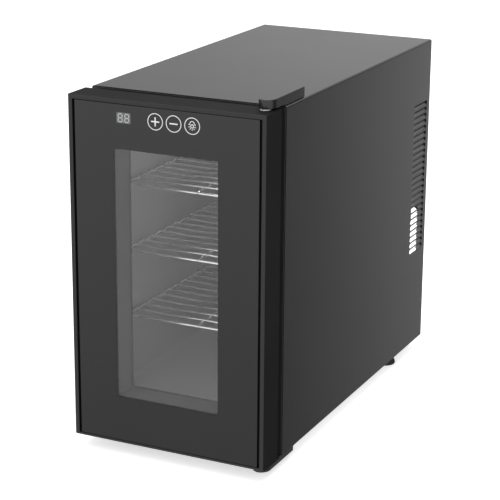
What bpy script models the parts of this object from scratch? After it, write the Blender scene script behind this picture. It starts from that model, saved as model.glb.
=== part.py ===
"""A free-standing thermoelectric wine cooler: a narrow, deep cabinet with a glazed door hinged on the right.

Metres, +Z up. The origin is the middle of the footprint on the floor. The door faces -Y.
Every sub-part is one named object. The door's pieces hang on an empty on the hinge axis.
"""

import math

import bmesh
import bpy
from mathutils import Matrix, Vector

MM = 0.001

# Driving dimensions
WIDTH = 252 * MM
DEPTH = 525 * MM
BODY_HEIGHT = 422 * MM  # of the door and of the cabinet, which are level
FOOT_HEIGHT = 16 * MM
DOOR_THICKNESS = 42 * MM
DOOR_GAP = 12 * MM  # from the door's back to the cabinet's front, filled by the gasket
FIT = 0.3 * MM  # gap between pieces that touch

# Cabinet
CABINET_INSET = 0.5 * MM  # each side of the cabinet stands back from the door's side
SHEET = 0.8 * MM
SHELL_CORNER = 2.0 * MM
REAR_FLANGE = 8.7 * MM
REAR_RECESS = 3.0 * MM  # from the shell's back edge to the rear cover's outer face
FRAME_DEPTH = 3.0 * MM
SIDE_WALL = 27.0 * MM  # insulation and both skins, outside of the shell to inside of the liner
FLOOR_WALL = 47.0 * MM
ROOF_WALL = 37.0 * MM
REAR_BAY = 75.6 * MM  # machine compartment behind the insulation
FOAM_BACK_WALL = 34.1 * MM
FOAM_SHEET = 1.0 * MM
LINER_WALL = 1.5 * MM
PAN_SHEET = 1.2 * MM
BAY_FLANGE = 12.0 * MM

# Side vents
VENT_COUNT = 25
VENT_PITCH = 8.35 * MM
VENT_LENGTH = 48.0 * MM
VENT_HEIGHT = 6.2 * MM
VENT_LOWEST = 137.0 * MM  # middle of the lowest slot above the cabinet's underside
VENT_TO_BACK = 10.0 * MM

# Rear cover
COVER_SHEET = 1.2 * MM
WINDOW_SIDE_MARGIN = 11.0 * MM
WINDOW_LOW = 44.0 * MM  # above the cabinet's underside
WINDOW_HEIGHT = 142.0 * MM
WINDOW_CORNER = 6.0 * MM
LOUVRE_COUNT = 10
LOUVRE_PITCH = 9.5 * MM
LOUVRE_LENGTH = 150.0 * MM
LOUVRE_HEIGHT = 4.5 * MM
LOUVRE_TO_TOP = 28.0 * MM

# Shelves
SHELF_LEVELS = {"bottom": 137.1 * MM, "middle": 220.4 * MM, "top": 303.7 * MM}
SHELF_FRONT = 30.5 * MM  # from the cabinet's front to the shelf's front rail
RAIL_TO_BAR = 12.0 * MM
RAIL_DROP = 4.6 * MM  # from the bars down to the front rail, which is welded under the runners
RAIL_RADIUS = 1.7 * MM
SHELF_PITCH = 21.4 * MM
SHELF_BARS = 14
BAR_RADIUS = 1.2 * MM
RUNNER_RADIUS = 1.6 * MM
RUNNER_TO_WALL = 2.5 * MM
WELD = 0.4 * MM
LEDGE_WIDTH = 5.0 * MM
LEDGE_THICKNESS = 2.5 * MM

# Cooling set: inner fan and cold sink, thermoelectric module, hot sink and outer fan
COOLING_HEIGHT = 115.0 * MM  # its middle above the cabinet's underside
COLD_FAN_SIZE = 80.0 * MM
COLD_FAN_DEPTH = 15.0 * MM
HOT_FAN_SIZE = 120.0 * MM
HOT_FAN_DEPTH = 25.0 * MM
COLD_SINK_SIZE = 88.0 * MM
COLD_SINK_FIN = 24.0 * MM
COLD_SINK_FINS = 12
HOT_SINK_SIZE = (130.0 * MM, 120.0 * MM)
HOT_SINK_FIN = 35.0 * MM
HOT_SINK_FINS = 16
FIN_THICKNESS = 1.6 * MM
SINK_BASE = 5.0 * MM
MODULE_SIZE = 40.0 * MM
MODULE_THICKNESS = 3.8 * MM
COLD_BLOCK = 7.7 * MM
FAN_COVER_SIZE = 116.0 * MM
FAN_COVER_DEPTH = 26.2 * MM
FAN_COVER_WALL = 1.8 * MM
FAN_COVER_CORNER = 8.0 * MM
FAN_SLOT_PITCH = 9.0 * MM
FAN_SLOT_HEIGHT = 5.0 * MM
FAN_BLADES = 7
FAN_TIP_GAP = 5.0 * MM  # from the outside of a fan's frame to its blades
BORE_WALL = 3.0 * MM
GUARD_WIRE = 2.0 * MM
SPOKE_DEPTH = 2.0 * MM

# Power supply
SUPPLY_SIDE_MARGIN = 19.0 * MM  # from the cabinet's side
SUPPLY_WIDTH = 40.0 * MM
SUPPLY_LOW = 165.0 * MM
SUPPLY_HEIGHT = 119.0 * MM
SUPPLY_WALL = 1.5 * MM
INLET_X = 90.0 * MM
INLET_HEIGHT = 24.0 * MM
INLET_BODY = (27.0 * MM, 20.0 * MM)
INLET_FLANGE = (31.0 * MM, 24.0 * MM)
INLET_DEPTH = 18.0 * MM  # in front of the rear cover
LEAD_RADIUS = 3.0 * MM

# Door
LIP = 5.4 * MM
BOTTOM_LIP = 4.0 * MM
GLASS_THICKNESS = 3.8 * MM
GLASS_GROOVE = 3.0 * MM
WEB = 2.5 * MM
TUNNEL_WALL = 2.0 * MM
WINDOW_WIDTH = 133.6 * MM
WINDOW_BELOW = 60.0 * MM
WINDOW_ABOVE = 58.0 * MM
PANE_THICKNESS = 3.3 * MM
PANE_OVERLAP = 4.2 * MM
BACK_PANEL = 1.5 * MM
BACK_PANEL_INSET = 1.5 * MM
GASKET_INSET = 1.5 * MM  # from the cabinet's opening
GASKET_WIDTH = 9.5 * MM
GASKET_WALL = 2.3 * MM
MAGNET_THICKNESS = 4.0 * MM

# Controls, from the door's middle and below its top
CONTROL_DROP = 21.2 * MM
CONTROL_BAND = 24.0 * MM
CONTROL_POCKET = 15.0 * MM
DIGITS_X = -53.0 * MM
DIGITS_SIZE = (18.3 * MM, 12.5 * MM)
DISPLAY_DEPTH = 6.0 * MM
TOUCH_X = (-12.2 * MM, 11.2 * MM, 34.6 * MM)
TOUCH_RADIUS = 5.0 * MM
BOARD_THICKNESS = 1.6 * MM
BOARD_MARGIN = 4.0 * MM

# Hinges
HINGE_SIDE = 14.0 * MM  # axis from the door's side
HINGE_FRONT = 27.0 * MM  # axis from the door's front
PIN_RADIUS = 3.0 * MM
PIN_HEAD_RADIUS = 4.4 * MM
PIN_HEAD = 1.5 * MM
PIN_REACH = 20.0 * MM
BUSH_WALL = 1.7 * MM
BUSH_FLANGE = 1.2 * MM
BUSH_LENGTH = 22.0 * MM
HINGE_CORNER = 12.0 * MM
HINGE_NOSE = (5.5 * MM, 2.6 * MM)  # left of the round corner, and behind the plate's front
# Each hinge's plan: its front and back behind the door's front, then how far inside the door's side it
# reaches on the left at the back, and how far inside it stops on the right
TOP_HINGE_PLAN = (20.0 * MM, 108.5 * MM, 49.0 * MM, 3.0 * MM)
BOTTOM_HINGE_PLAN = (12.0 * MM, 89.5 * MM, 44.0 * MM, 2.0 * MM)
HINGE_STEP = 4.0 * MM  # in front of the cabinet, over which a hinge plate steps to clear the door
HINGE_PLATE = 2.5 * MM
HINGE_JOGGLE = 2.0 * MM
HINGE_COVER_RISE = 12.5 * MM
HINGE_COVER_WALL = 1.8 * MM
BOTTOM_HINGE_DROP = 7.5 * MM
ANCHOR_THICKNESS = 2.0 * MM
HINGE_SCREW_BACK = 24.0 * MM  # behind the cabinet front
HINGE_SCREW_PITCH = 13.0 * MM

# Feet and screws
FOOT_RADIUS = 15.0 * MM
FOOT_NECK = 11.5 * MM
STEM_RADIUS = 3.0 * MM
FOOT_SIDE = 21.0 * MM
FRONT_FOOT_SIDE = 45.0 * MM
REAR_FOOT_BACK = 88.0 * MM
FRONT_FOOT_BACK = 90.0 * MM  # behind the cabinet's front
SCREW_RADIUS = 2.0 * MM
SCREW_HEAD_RADIUS = 4.2 * MM
SCREW_HEAD = 2.2 * MM
SCREW_LENGTH = 12.0 * MM
COVER_SCREW_RADIUS = 1.5 * MM
COVER_SCREW_HEAD = 3.3 * MM
COVER_SCREW_HEIGHT = 2.0 * MM
COVER_SCREW_LENGTH = 7.0 * MM
COVER_SCREW_LOW = 90.0 * MM  # above the cabinet's underside
COVER_SCREW_HIGH = 60.0 * MM  # below its roof

# Lamp and sensor
LAMP_SIZE = (44.0 * MM, 20.0 * MM, 7.0 * MM)
LAMP_FRONT = 45.0 * MM  # behind the cabinet's front
LAMP_WALL = 1.2 * MM
SENSOR_RADIUS = 3.0 * MM
SENSOR_LENGTH = 20.0 * MM
SENSOR_X = 78.0 * MM
SENSOR_HEIGHT = 214.0 * MM

# Planes worked out from the sizes above
FRONT = -DEPTH / 2
BACK = DEPTH / 2
BOTTOM = FOOT_HEIGHT
TOP = BOTTOM + BODY_HEIGHT
DOOR_SIDE = WIDTH / 2
DOOR_BACK = FRONT + DOOR_THICKNESS
CABINET_FRONT = DOOR_BACK + DOOR_GAP
CABINET_SIDE = DOOR_SIDE - CABINET_INSET
INSIDE_SHELL = CABINET_SIDE - SHEET - FIT
UNDER_ROOF = TOP - SHEET - FIT
PAN_FLOOR = BOTTOM + FIT + PAN_SHEET
ON_PAN = PAN_FLOOR + FIT
CAVITY_SIDE = CABINET_SIDE - SIDE_WALL
CAVITY_LOW = BOTTOM + FLOOR_WALL
CAVITY_HIGH = TOP - ROOF_WALL
LINER_FRONT = CABINET_FRONT + FRAME_DEPTH + FIT
FOAM_BACK = BACK - REAR_BAY - FIT
CAVITY_BACK = FOAM_BACK - FOAM_BACK_WALL
SHEET_BACK = FOAM_BACK + FIT + FOAM_SHEET
COVER_BACK = BACK - REAR_RECESS
COVER_FRONT = COVER_BACK - COVER_SHEET
COOLING_Z = BOTTOM + COOLING_HEIGHT
HINGE_X = DOOR_SIDE - HINGE_SIDE
HINGE_Y = FRONT + HINGE_FRONT
CONTROL_Z = TOP - CONTROL_DROP
WINDOW_LOW_Z = BOTTOM + WINDOW_BELOW
WINDOW_HIGH_Z = TOP - WINDOW_ABOVE
GLASS_BACK = FRONT + FIT + GLASS_THICKNESS
WEB_FRONT = GLASS_BACK + FIT
WEB_BACK = WEB_FRONT + WEB
PANEL_FRONT = DOOR_BACK - BACK_PANEL
PANE_BACK = PANEL_FRONT - FIT
PANE_FRONT = PANE_BACK - PANE_THICKNESS


def clear_scene():
    for obj in list(bpy.data.objects):
        bpy.data.objects.remove(obj)


# Shapes


def to_object(name, bm):
    """A new object from a bmesh, its faces turned outwards."""
    bmesh.ops.recalc_face_normals(bm, faces=bm.faces)
    mesh = bpy.data.meshes.new(name)
    bm.to_mesh(mesh)
    bm.free()
    obj = bpy.data.objects.new(name, mesh)
    bpy.context.scene.collection.objects.link(obj)
    return obj


def block(name, x, y, z):
    """A box from its (low, high) pairs."""
    bm = bmesh.new()
    size = Vector((x[1] - x[0], y[1] - y[0], z[1] - z[0]))
    middle = Vector((x[0] + x[1], y[0] + y[1], z[0] + z[1])) / 2
    bmesh.ops.create_cube(bm, size=1, matrix=Matrix.Translation(middle) @ Matrix.Diagonal((*size, 1)))
    return to_object(name, bm)


def on_axis(axis, u, v, w):
    """The point (u, v) of an outline, at w along the axis that it is extruded or turned about."""
    return {"X": (w, u, v), "Y": (u, w, v), "Z": (u, v, w)}[axis]


def prism(name, outline, axis, start, end):
    bm = bmesh.new()
    low = [bm.verts.new(on_axis(axis, u, v, start)) for u, v in outline]
    high = [bm.verts.new(on_axis(axis, u, v, end)) for u, v in outline]
    bm.faces.new(low)
    bm.faces.new(high)
    for i in range(len(outline)):
        j = (i + 1) % len(outline)
        bm.faces.new((low[i], low[j], high[j], high[i]))
    return to_object(name, bm)


def turned(name, profile, axis, centre, segments, tube=False):
    """A profile of (radius, place along the axis) points turned about an axis through centre.

    A tube's profile is a closed loop; any other starts and ends on the axis.
    """
    bm = bmesh.new()
    rings = []
    for radius, along in profile:
        if radius == 0:
            rings.append([bm.verts.new(on_axis(axis, centre[0], centre[1], along))] * segments)
            continue
        ring = []
        for i in range(segments):
            angle = 2 * math.pi * (i + 0.5) / segments
            u = centre[0] + radius * math.cos(angle)
            v = centre[1] + radius * math.sin(angle)
            ring.append(bm.verts.new(on_axis(axis, u, v, along)))
        rings.append(ring)
    pairs = list(zip(rings, rings[1:]))
    if tube:
        pairs.append((rings[-1], rings[0]))
    for first, second in pairs:
        for i in range(segments):
            j = (i + 1) % segments
            corners = dict.fromkeys((first[i], first[j], second[j], second[i]))
            bm.faces.new(list(corners))
    return to_object(name, bm)


def rod(name, radius, axis, centre, start, end, segments=12):
    profile = [(0, start), (radius, start), (radius, end), (0, end)]
    return turned(name, profile, axis, centre, segments)


def arc(centre, radius, start, end, steps):
    """Points on an arc, from the start angle to the end angle in degrees, both ends included."""
    points = []
    for i in range(steps + 1):
        angle = math.radians(start + (end - start) * i / steps)
        points.append((centre[0] + radius * math.cos(angle), centre[1] + radius * math.sin(angle)))
    return points


def rounded(u, v, radius, steps=3):
    """The outline of a rectangle with round corners, from its (low, high) pairs."""
    outline = []
    corners = ((u[1], v[1], 0), (u[0], v[1], 90), (u[0], v[0], 180), (u[1], v[0], 270))
    for corner_u, corner_v, start in corners:
        inward_u = -radius if corner_u == u[1] else radius
        inward_v = -radius if corner_v == v[1] else radius
        outline += arc((corner_u + inward_u, corner_v + inward_v), radius, start, start + 90, steps)
    return outline


def slot_outline(middle, length, height, steps=3):
    """A slot with round ends, long in its first direction."""
    reach = length / 2 - height / 2
    right = arc((middle[0] + reach, middle[1]), height / 2, -90, 90, steps)
    left = arc((middle[0] - reach, middle[1]), height / 2, 90, 270, steps)
    return right + left


def inset(outline, distance):
    """A convex outline, drawn anticlockwise, with each side moved inwards."""
    moved = []
    for i, point in enumerate(outline):
        before = Vector(outline[i - 1])
        here = Vector(point)
        after = Vector(outline[(i + 1) % len(outline)])
        entry = (here - before).normalized()
        leave = (after - here).normalized()
        normal_in = Vector((-entry.y, entry.x))
        normal_out = Vector((-leave.y, leave.x))
        middle = (normal_in + normal_out).normalized()
        moved.append(tuple(here + middle * distance / middle.dot(normal_in)))
    return moved


def combine(name, pieces):
    """Pieces that don't touch, as one object, for use as a single cutter or addition."""
    bm = bmesh.new()
    for piece in pieces:
        bm.from_mesh(piece.data)
        bpy.data.objects.remove(piece)
    return to_object(name, bm)


def boolean(target, tools, operation):
    for tool in tools:
        modifier = target.modifiers.new(tool.name, "BOOLEAN")
        modifier.operation = operation
        modifier.solver = "EXACT"
        modifier.object = tool
    bpy.context.view_layer.update()
    graph = bpy.context.evaluated_depsgraph_get()
    result = bpy.data.meshes.new_from_object(target.evaluated_get(graph))
    target.modifiers.clear()
    target.data = result
    for tool in tools:
        bpy.data.objects.remove(tool)
    return target


def cut(target, *tools):
    return boolean(target, tools, "DIFFERENCE")


def join(target, *tools):
    return boolean(target, tools, "UNION")


def finish(obj, colour, roughness, metallic=0.0, origin=None, smooth=False):
    """Gives a sub-part its material and sets its origin, at its middle unless another point is given."""
    material = bpy.data.materials.new(obj.name)
    material.use_nodes = True
    shader = material.node_tree.nodes["Principled BSDF"]
    shader.inputs["Base Color"].default_value = (*colour, 1)
    shader.inputs["Roughness"].default_value = roughness
    shader.inputs["Metallic"].default_value = metallic
    obj.data.materials.clear()
    obj.data.materials.append(material)
    if origin is None:
        corners = [Vector(corner) for corner in obj.bound_box]
        origin = (corners[0] + corners[6]) / 2
    obj.data.transform(Matrix.Translation(-Vector(origin)))
    obj.location = origin
    if smooth:
        obj.data.shade_smooth()
        obj.data.set_sharp_from_angle(angle=math.radians(35))
    return obj


BLACK = (0.012, 0.012, 0.013)
DARK_GREY = (0.035, 0.035, 0.037)
LINER_GREY = (0.16, 0.165, 0.17)
STEEL = (0.56, 0.57, 0.58)
ALUMINIUM = (0.62, 0.63, 0.64)
FOAM = (0.85, 0.74, 0.5)
BOARD_GREEN = (0.02, 0.12, 0.05)
CERAMIC = (0.85, 0.85, 0.82)


# Cabinet


def vent_cutters():
    """One slot right through both sides for each row of vents."""
    middle = BACK - VENT_TO_BACK - VENT_LENGTH / 2
    slots = []
    for row in range(VENT_COUNT):
        height = BOTTOM + VENT_LOWEST + row * VENT_PITCH
        outline = slot_outline((middle, height), VENT_LENGTH, VENT_HEIGHT)
        slots.append(prism("slot", outline, "X", -DOOR_SIDE, DOOR_SIDE))
    return combine("vents", slots)


def hinge_screw_places():
    behind = CABINET_FRONT + HINGE_SCREW_BACK
    return [(HINGE_X - HINGE_SCREW_PITCH, behind), (HINGE_X, behind)]


def cover_screw_places():
    side = INSIDE_SHELL - REAR_FLANGE / 2
    return {
        "low_left": (-side, BOTTOM + COVER_SCREW_LOW),
        "low_right": (side, BOTTOM + COVER_SCREW_LOW),
        "high_left": (-side, TOP - COVER_SCREW_HIGH),
        "high_right": (side, TOP - COVER_SCREW_HIGH),
    }


def outer_shell():
    """Roof and both sides, one bent sheet with a flange turned in at the back."""
    roof = arc((CABINET_SIDE - SHELL_CORNER, TOP - SHELL_CORNER), SHELL_CORNER, 0, 90, 3)
    roof += arc((-CABINET_SIDE + SHELL_CORNER, TOP - SHELL_CORNER), SHELL_CORNER, 90, 180, 3)
    inner = CABINET_SIDE - SHEET
    outline = [(CABINET_SIDE, BOTTOM), *roof, (-CABINET_SIDE, BOTTOM), (-inner, BOTTOM)]
    outline += [(-inner, TOP - SHEET), (inner, TOP - SHEET), (inner, BOTTOM)]
    shell = prism("outer_shell", outline, "Y", CABINET_FRONT, BACK)
    back = COVER_FRONT - FIT
    flange = block(
        "flange", (-CABINET_SIDE + SHEET / 2, CABINET_SIDE - SHEET / 2), (back - SHEET, back),
        (BOTTOM + 20 * MM, TOP - SHEET / 2),
    )
    open_side = CABINET_SIDE - SHEET - REAR_FLANGE
    opening = block(
        "opening", (-open_side, open_side), (back - 2 * SHEET, back + SHEET),
        (BOTTOM, TOP - SHEET - REAR_FLANGE),
    )
    join(shell, cut(flange, opening))
    holes = []
    for x, y in hinge_screw_places():
        holes.append(rod("hole", SCREW_RADIUS + FIT, "Z", (x, y), TOP - 3 * SHEET, TOP + SHEET))
    for place in cover_screw_places().values():
        holes.append(rod("hole", COVER_SCREW_RADIUS + FIT, "Y", place, back - 2 * SHEET, back + SHEET, 8))
    cut(shell, vent_cutters(), combine("holes", holes))
    return finish(shell, DARK_GREY, 0.42, smooth=True)


def foot_places():
    front = CABINET_FRONT + FRONT_FOOT_BACK
    rear = BACK - REAR_FOOT_BACK
    return {
        "front_left": (-DOOR_SIDE + FRONT_FOOT_SIDE, front),
        "front_right": (DOOR_SIDE - FRONT_FOOT_SIDE, front),
        "rear_left": (-DOOR_SIDE + FOOT_SIDE, rear),
        "rear_right": (DOOR_SIDE - FOOT_SIDE, rear),
    }


def base_pan():
    front = LINER_FRONT
    back = COVER_FRONT - FIT
    low = BOTTOM + FIT
    pan = block("base_pan", (-INSIDE_SHELL, INSIDE_SHELL), (front, back), (low, PAN_FLOOR))
    bay = FOAM_BACK + 3 * MM
    flanges = block("flanges", (-INSIDE_SHELL, INSIDE_SHELL), (bay, back - 2 * MM), (low, low + BAY_FLANGE))
    between = INSIDE_SHELL - PAN_SHEET
    clear = block("clear", (-between, between), (bay - MM, back), (PAN_FLOOR, low + 2 * BAY_FLANGE))
    join(pan, cut(flanges, clear))
    holes = []
    for place in foot_places().values():
        holes.append(rod("hole", STEM_RADIUS + FIT, "Z", place, low - MM, PAN_FLOOR + MM))
    for place in hinge_screw_places():
        holes.append(rod("hole", SCREW_RADIUS + FIT, "Z", place, low - MM, PAN_FLOOR + MM))
    cut(pan, combine("holes", holes))
    return finish(pan, DARK_GREY, 0.5)


def foot(name, place):
    """A flared rubber foot with a barbed stem pushed through the base pan."""
    shoulder = BOTTOM - FIT / 2
    barb = PAN_FLOOR + FIT
    profile = [(0, 0), (FOOT_RADIUS - MM, 0), (FOOT_RADIUS, MM), (FOOT_RADIUS, 3 * MM)]
    profile += [(FOOT_NECK, shoulder), (STEM_RADIUS, shoulder), (STEM_RADIUS, barb)]
    profile += [(STEM_RADIUS + MM, barb), (STEM_RADIUS - MM, barb + 5 * MM), (0, barb + 5 * MM)]
    piece = turned("foot_" + name, profile, "Z", place, 12)
    return finish(piece, BLACK, 0.8, origin=(*place, 0), smooth=True)


def front_frame():
    """Moulded trim that closes the front of the walls. The gasket lies on it."""
    depth = (CABINET_FRONT, CABINET_FRONT + FRAME_DEPTH)
    frame = block("front_frame", (-INSIDE_SHELL, INSIDE_SHELL), depth, (BOTTOM + FIT, UNDER_ROOF))
    through = (CABINET_FRONT - MM, LINER_FRONT)
    opening = block("opening", (-CAVITY_SIDE, CAVITY_SIDE), through, (CAVITY_LOW, CAVITY_HIGH))
    return finish(cut(frame, opening), BLACK, 0.5)


def shelf_back():
    return CABINET_FRONT + SHELF_FRONT + RAIL_TO_BAR + (SHELF_BARS - 1) * SHELF_PITCH


def runner_height(level):
    """The middle of a shelf's side wires, which its bars are welded on."""
    return BOTTOM + level - BAR_RADIUS - RUNNER_RADIUS + WELD


def inner_liner():
    """Formed plastic box with a ledge under each side of each shelf."""
    wall = LINER_WALL
    liner = block(
        "inner_liner", (-CAVITY_SIDE - wall, CAVITY_SIDE + wall), (LINER_FRONT, CAVITY_BACK + wall),
        (CAVITY_LOW - wall, CAVITY_HIGH + wall),
    )
    room = block(
        "room", (-CAVITY_SIDE, CAVITY_SIDE), (LINER_FRONT - MM, CAVITY_BACK), (CAVITY_LOW, CAVITY_HIGH)
    )
    half = COLD_SINK_SIZE / 2 + 3 * MM
    duct = block(
        "duct", (-half, half), (CAVITY_BACK - MM, CAVITY_BACK + 2 * wall),
        (COOLING_Z - half, COOLING_Z + half),
    )
    cut(liner, room, duct)
    ledges = []
    for level in SHELF_LEVELS.values():
        top = runner_height(level) - RUNNER_RADIUS - FIT
        for side in (-1, 1):
            edges = sorted((side * (CAVITY_SIDE - LEDGE_WIDTH), side * (CAVITY_SIDE + wall / 2)))
            depth = (CABINET_FRONT + SHELF_FRONT + 2 * RAIL_RADIUS, shelf_back() + 6 * MM)
            ledges.append(block("ledge", edges, depth, (top - LEDGE_THICKNESS, top)))
    join(liner, combine("ledges", ledges))
    return finish(liner, LINER_GREY, 0.45)


def module_hole_half():
    return MODULE_SIZE / 2 + 2 * FIT


def insulation_foam():
    """Foam between the shell and the liner, with a well for the cold sink."""
    foam = block(
        "insulation_foam", (-INSIDE_SHELL, INSIDE_SHELL), (LINER_FRONT, FOAM_BACK), (ON_PAN, UNDER_ROOF)
    )
    gap = LINER_WALL + FIT
    room = block(
        "room", (-CAVITY_SIDE - gap, CAVITY_SIDE + gap), (LINER_FRONT - MM, CAVITY_BACK + gap),
        (CAVITY_LOW - gap, CAVITY_HIGH + gap),
    )
    half = COLD_SINK_SIZE / 2 + 2 * MM
    hole = module_hole_half()
    well = block(
        "well", (-half, half), (CAVITY_BACK, module_front() - COLD_BLOCK),
        (COOLING_Z - half, COOLING_Z + half),
    )
    passage = block(
        "passage", (-hole, hole), (CAVITY_BACK, FOAM_BACK + MM), (COOLING_Z - hole, COOLING_Z + hole)
    )
    pockets = []
    for place in foot_places().values():
        pockets.append(rod("pocket", STEM_RADIUS + 2 * MM, "Z", place, BOTTOM, ON_PAN + 8 * MM, 8))
    for place in hinge_screw_places():
        pockets.append(rod("pocket", SCREW_RADIUS + MM, "Z", place, BOTTOM, ON_PAN + SCREW_LENGTH, 8))
        pockets.append(rod("pocket", SCREW_RADIUS + MM, "Z", place, UNDER_ROOF - SCREW_LENGTH, TOP, 8))
    cut(foam, room, well, passage, combine("pockets", pockets))
    cut(foam, anchor_block("recess", UNDER_ROOF - ANCHOR_THICKNESS - FIT, TOP, FIT))
    cut(foam, anchor_block("recess", BOTTOM, ON_PAN + ANCHOR_THICKNESS + FIT, FIT))
    return finish(foam, FOAM, 0.9)


def foam_back_sheet():
    sheet = block(
        "foam_back_sheet", (-INSIDE_SHELL, INSIDE_SHELL), (FOAM_BACK + FIT, SHEET_BACK), (ON_PAN, UNDER_ROOF)
    )
    half = module_hole_half()
    hole = block("hole", (-half, half), (FOAM_BACK, SHEET_BACK + MM), (COOLING_Z - half, COOLING_Z + half))
    return finish(cut(sheet, hole), STEEL, 0.45, 0.9)


def rear_cover():
    """Back panel with an open window behind the hot fan and louvres above it."""
    low = BOTTOM + FIT
    cover = block("rear_cover", (-INSIDE_SHELL, INSIDE_SHELL), (COVER_FRONT, COVER_BACK), (low, UNDER_ROOF))
    through = (COVER_FRONT - MM, COVER_BACK + MM)
    side = DOOR_SIDE - WINDOW_SIDE_MARGIN
    window_low = BOTTOM + WINDOW_LOW
    outline = rounded((-side, side), (window_low, window_low + WINDOW_HEIGHT), WINDOW_CORNER)
    window = prism("window", outline, "Y", *through)
    holes = []
    for row in range(LOUVRE_COUNT):
        height = TOP - LOUVRE_TO_TOP - row * LOUVRE_PITCH
        outline = slot_outline((0, height), LOUVRE_LENGTH, LOUVRE_HEIGHT, 2)
        holes.append(prism("louvre", outline, "Y", *through))
    for place in cover_screw_places().values():
        holes.append(rod("hole", COVER_SCREW_RADIUS + FIT, "Y", place, *through, 8))
    half_width = INLET_BODY[0] / 2 + FIT
    half_height = INLET_BODY[1] / 2 + FIT
    inlet_z = BOTTOM + INLET_HEIGHT
    holes.append(
        block(
            "inlet", (-INLET_X - half_width, -INLET_X + half_width), through,
            (inlet_z - half_height, inlet_z + half_height),
        )
    )
    cut(cover, window, combine("holes", holes))
    return finish(cover, DARK_GREY, 0.5)


def cover_screw(name, place):
    under_head = COVER_BACK + FIT
    profile = [(0, under_head - COVER_SCREW_LENGTH), (COVER_SCREW_RADIUS, under_head - COVER_SCREW_LENGTH)]
    profile += [(COVER_SCREW_RADIUS, under_head), (COVER_SCREW_HEAD, under_head)]
    profile += [(COVER_SCREW_HEAD, under_head + 1.2 * MM), (1.8 * MM, under_head + COVER_SCREW_HEIGHT)]
    profile += [(0, under_head + COVER_SCREW_HEIGHT)]
    screw = turned("rear_screw_" + name, profile, "Y", place, 10)
    return finish(screw, STEEL, 0.35, 1.0, smooth=True)


# Inside


def wire_shelf(name, level):
    """Bars across the cabinet, welded on three runners, with a front rail that drops in front of the ledges."""
    front = CABINET_FRONT + SHELF_FRONT
    reach = CAVITY_SIDE - FIT - MM
    height = BOTTOM + level
    bars = [rod("rail", RAIL_RADIUS, "X", (front, height - RAIL_DROP), -reach, reach, 6)]
    for i in range(SHELF_BARS):
        place = (front + RAIL_TO_BAR + i * SHELF_PITCH, height)
        bars.append(rod("bar", BAR_RADIUS, "X", place, -reach, reach, 6))
    shelf = combine("wire_shelf_" + name, bars)
    side = CAVITY_SIDE - RUNNER_TO_WALL
    runners = []
    for x in (-side, 0, side):
        place = (x, runner_height(level))
        runners.append(rod("runner", RUNNER_RADIUS, "Y", place, front - MM, shelf_back() + MM, 6))
    join(shelf, combine("runners", runners))
    return finish(shelf, STEEL, 0.18, 1.0, origin=(0, front, height), smooth=True)


def fan_frame(name, size, front, depth, centre, spokes_at_back):
    """Square frame round a bore, with four spokes that hold the motor seat."""
    half = size / 2
    x = (centre[0] - half, centre[0] + half)
    z = (centre[1] - half, centre[1] + half)
    back = front + depth
    frame = prism(name, rounded(x, z, 4 * MM, 2), "Y", front, back)
    bore = half - BORE_WALL
    cut(frame, rod("bore", bore, "Y", centre, front - MM, back + MM, 24))
    middle = back - SPOKE_DEPTH if spokes_at_back else front + SPOKE_DEPTH
    seat = (middle - 0.4 * SPOKE_DEPTH, middle + 0.4 * SPOKE_DEPTH)
    slim = (middle - 0.3 * SPOKE_DEPTH, middle + 0.3 * SPOKE_DEPTH)
    slimmer = (middle - 0.25 * SPOKE_DEPTH, middle + 0.25 * SPOKE_DEPTH)
    reach = bore + 1.5 * MM
    across = block("spoke", (centre[0] - reach, centre[0] + reach), slim, (centre[1] - MM, centre[1] + MM))
    upright = block("spoke", (centre[0] - MM, centre[0] + MM), slimmer, (centre[1] - reach, centre[1] + reach))
    spider = join(rod("seat", size * 0.15, "Y", centre, *seat, 16), across)
    join(frame, join(spider, upright))
    return finish(frame, BLACK, 0.5, smooth=True)


def blade(hub, tip, front, back, centre, start, sweep):
    """One fan blade: a thin sheet from the hub to the tip that turns as it goes back."""
    bm = bmesh.new()
    thickness = 1.2 * MM
    stations = []
    for share in (0, 0.5, 1):
        radius = hub + (tip - hub) * share
        corners = []
        for angle, y in ((start, front), (start + sweep * (1 - 0.25 * share), back - thickness)):
            turn = angle + 0.25 * share
            x = centre[0] + radius * math.cos(turn)
            z = centre[1] + radius * math.sin(turn)
            corners += [bm.verts.new((x, y, z)), bm.verts.new((x, y + thickness, z))]
        stations.append((corners[0], corners[2], corners[3], corners[1]))
    for near, far in zip(stations, stations[1:]):
        for i in range(4):
            j = (i + 1) % 4
            bm.faces.new((near[i], near[j], far[j], far[i]))
    bm.faces.new(stations[0])
    bm.faces.new(stations[-1])
    return to_object("blade", bm)


def fan_rotor(name, size, front, back, centre):
    """Hub and blades. The origin is on the axis that it turns about."""
    hub = size * 0.16
    tip = size / 2 - FAN_TIP_GAP
    hub_profile = [(0, front), (hub - MM, front), (hub, front + MM), (hub, back), (0, back)]
    rotor = turned(name, hub_profile, "Y", centre, 20)
    margin = 1.5 * MM
    pieces = []
    for i in range(FAN_BLADES):
        start = 2 * math.pi * i / FAN_BLADES
        piece = blade(hub - MM, tip, front + margin, back - margin, centre, start, math.radians(34))
        pieces.append(piece)
    join(rotor, combine("blades", pieces))
    axis_point = (centre[0], (front + back) / 2, centre[1])
    return finish(rotor, BLACK, 0.45, origin=axis_point, smooth=True)


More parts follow.
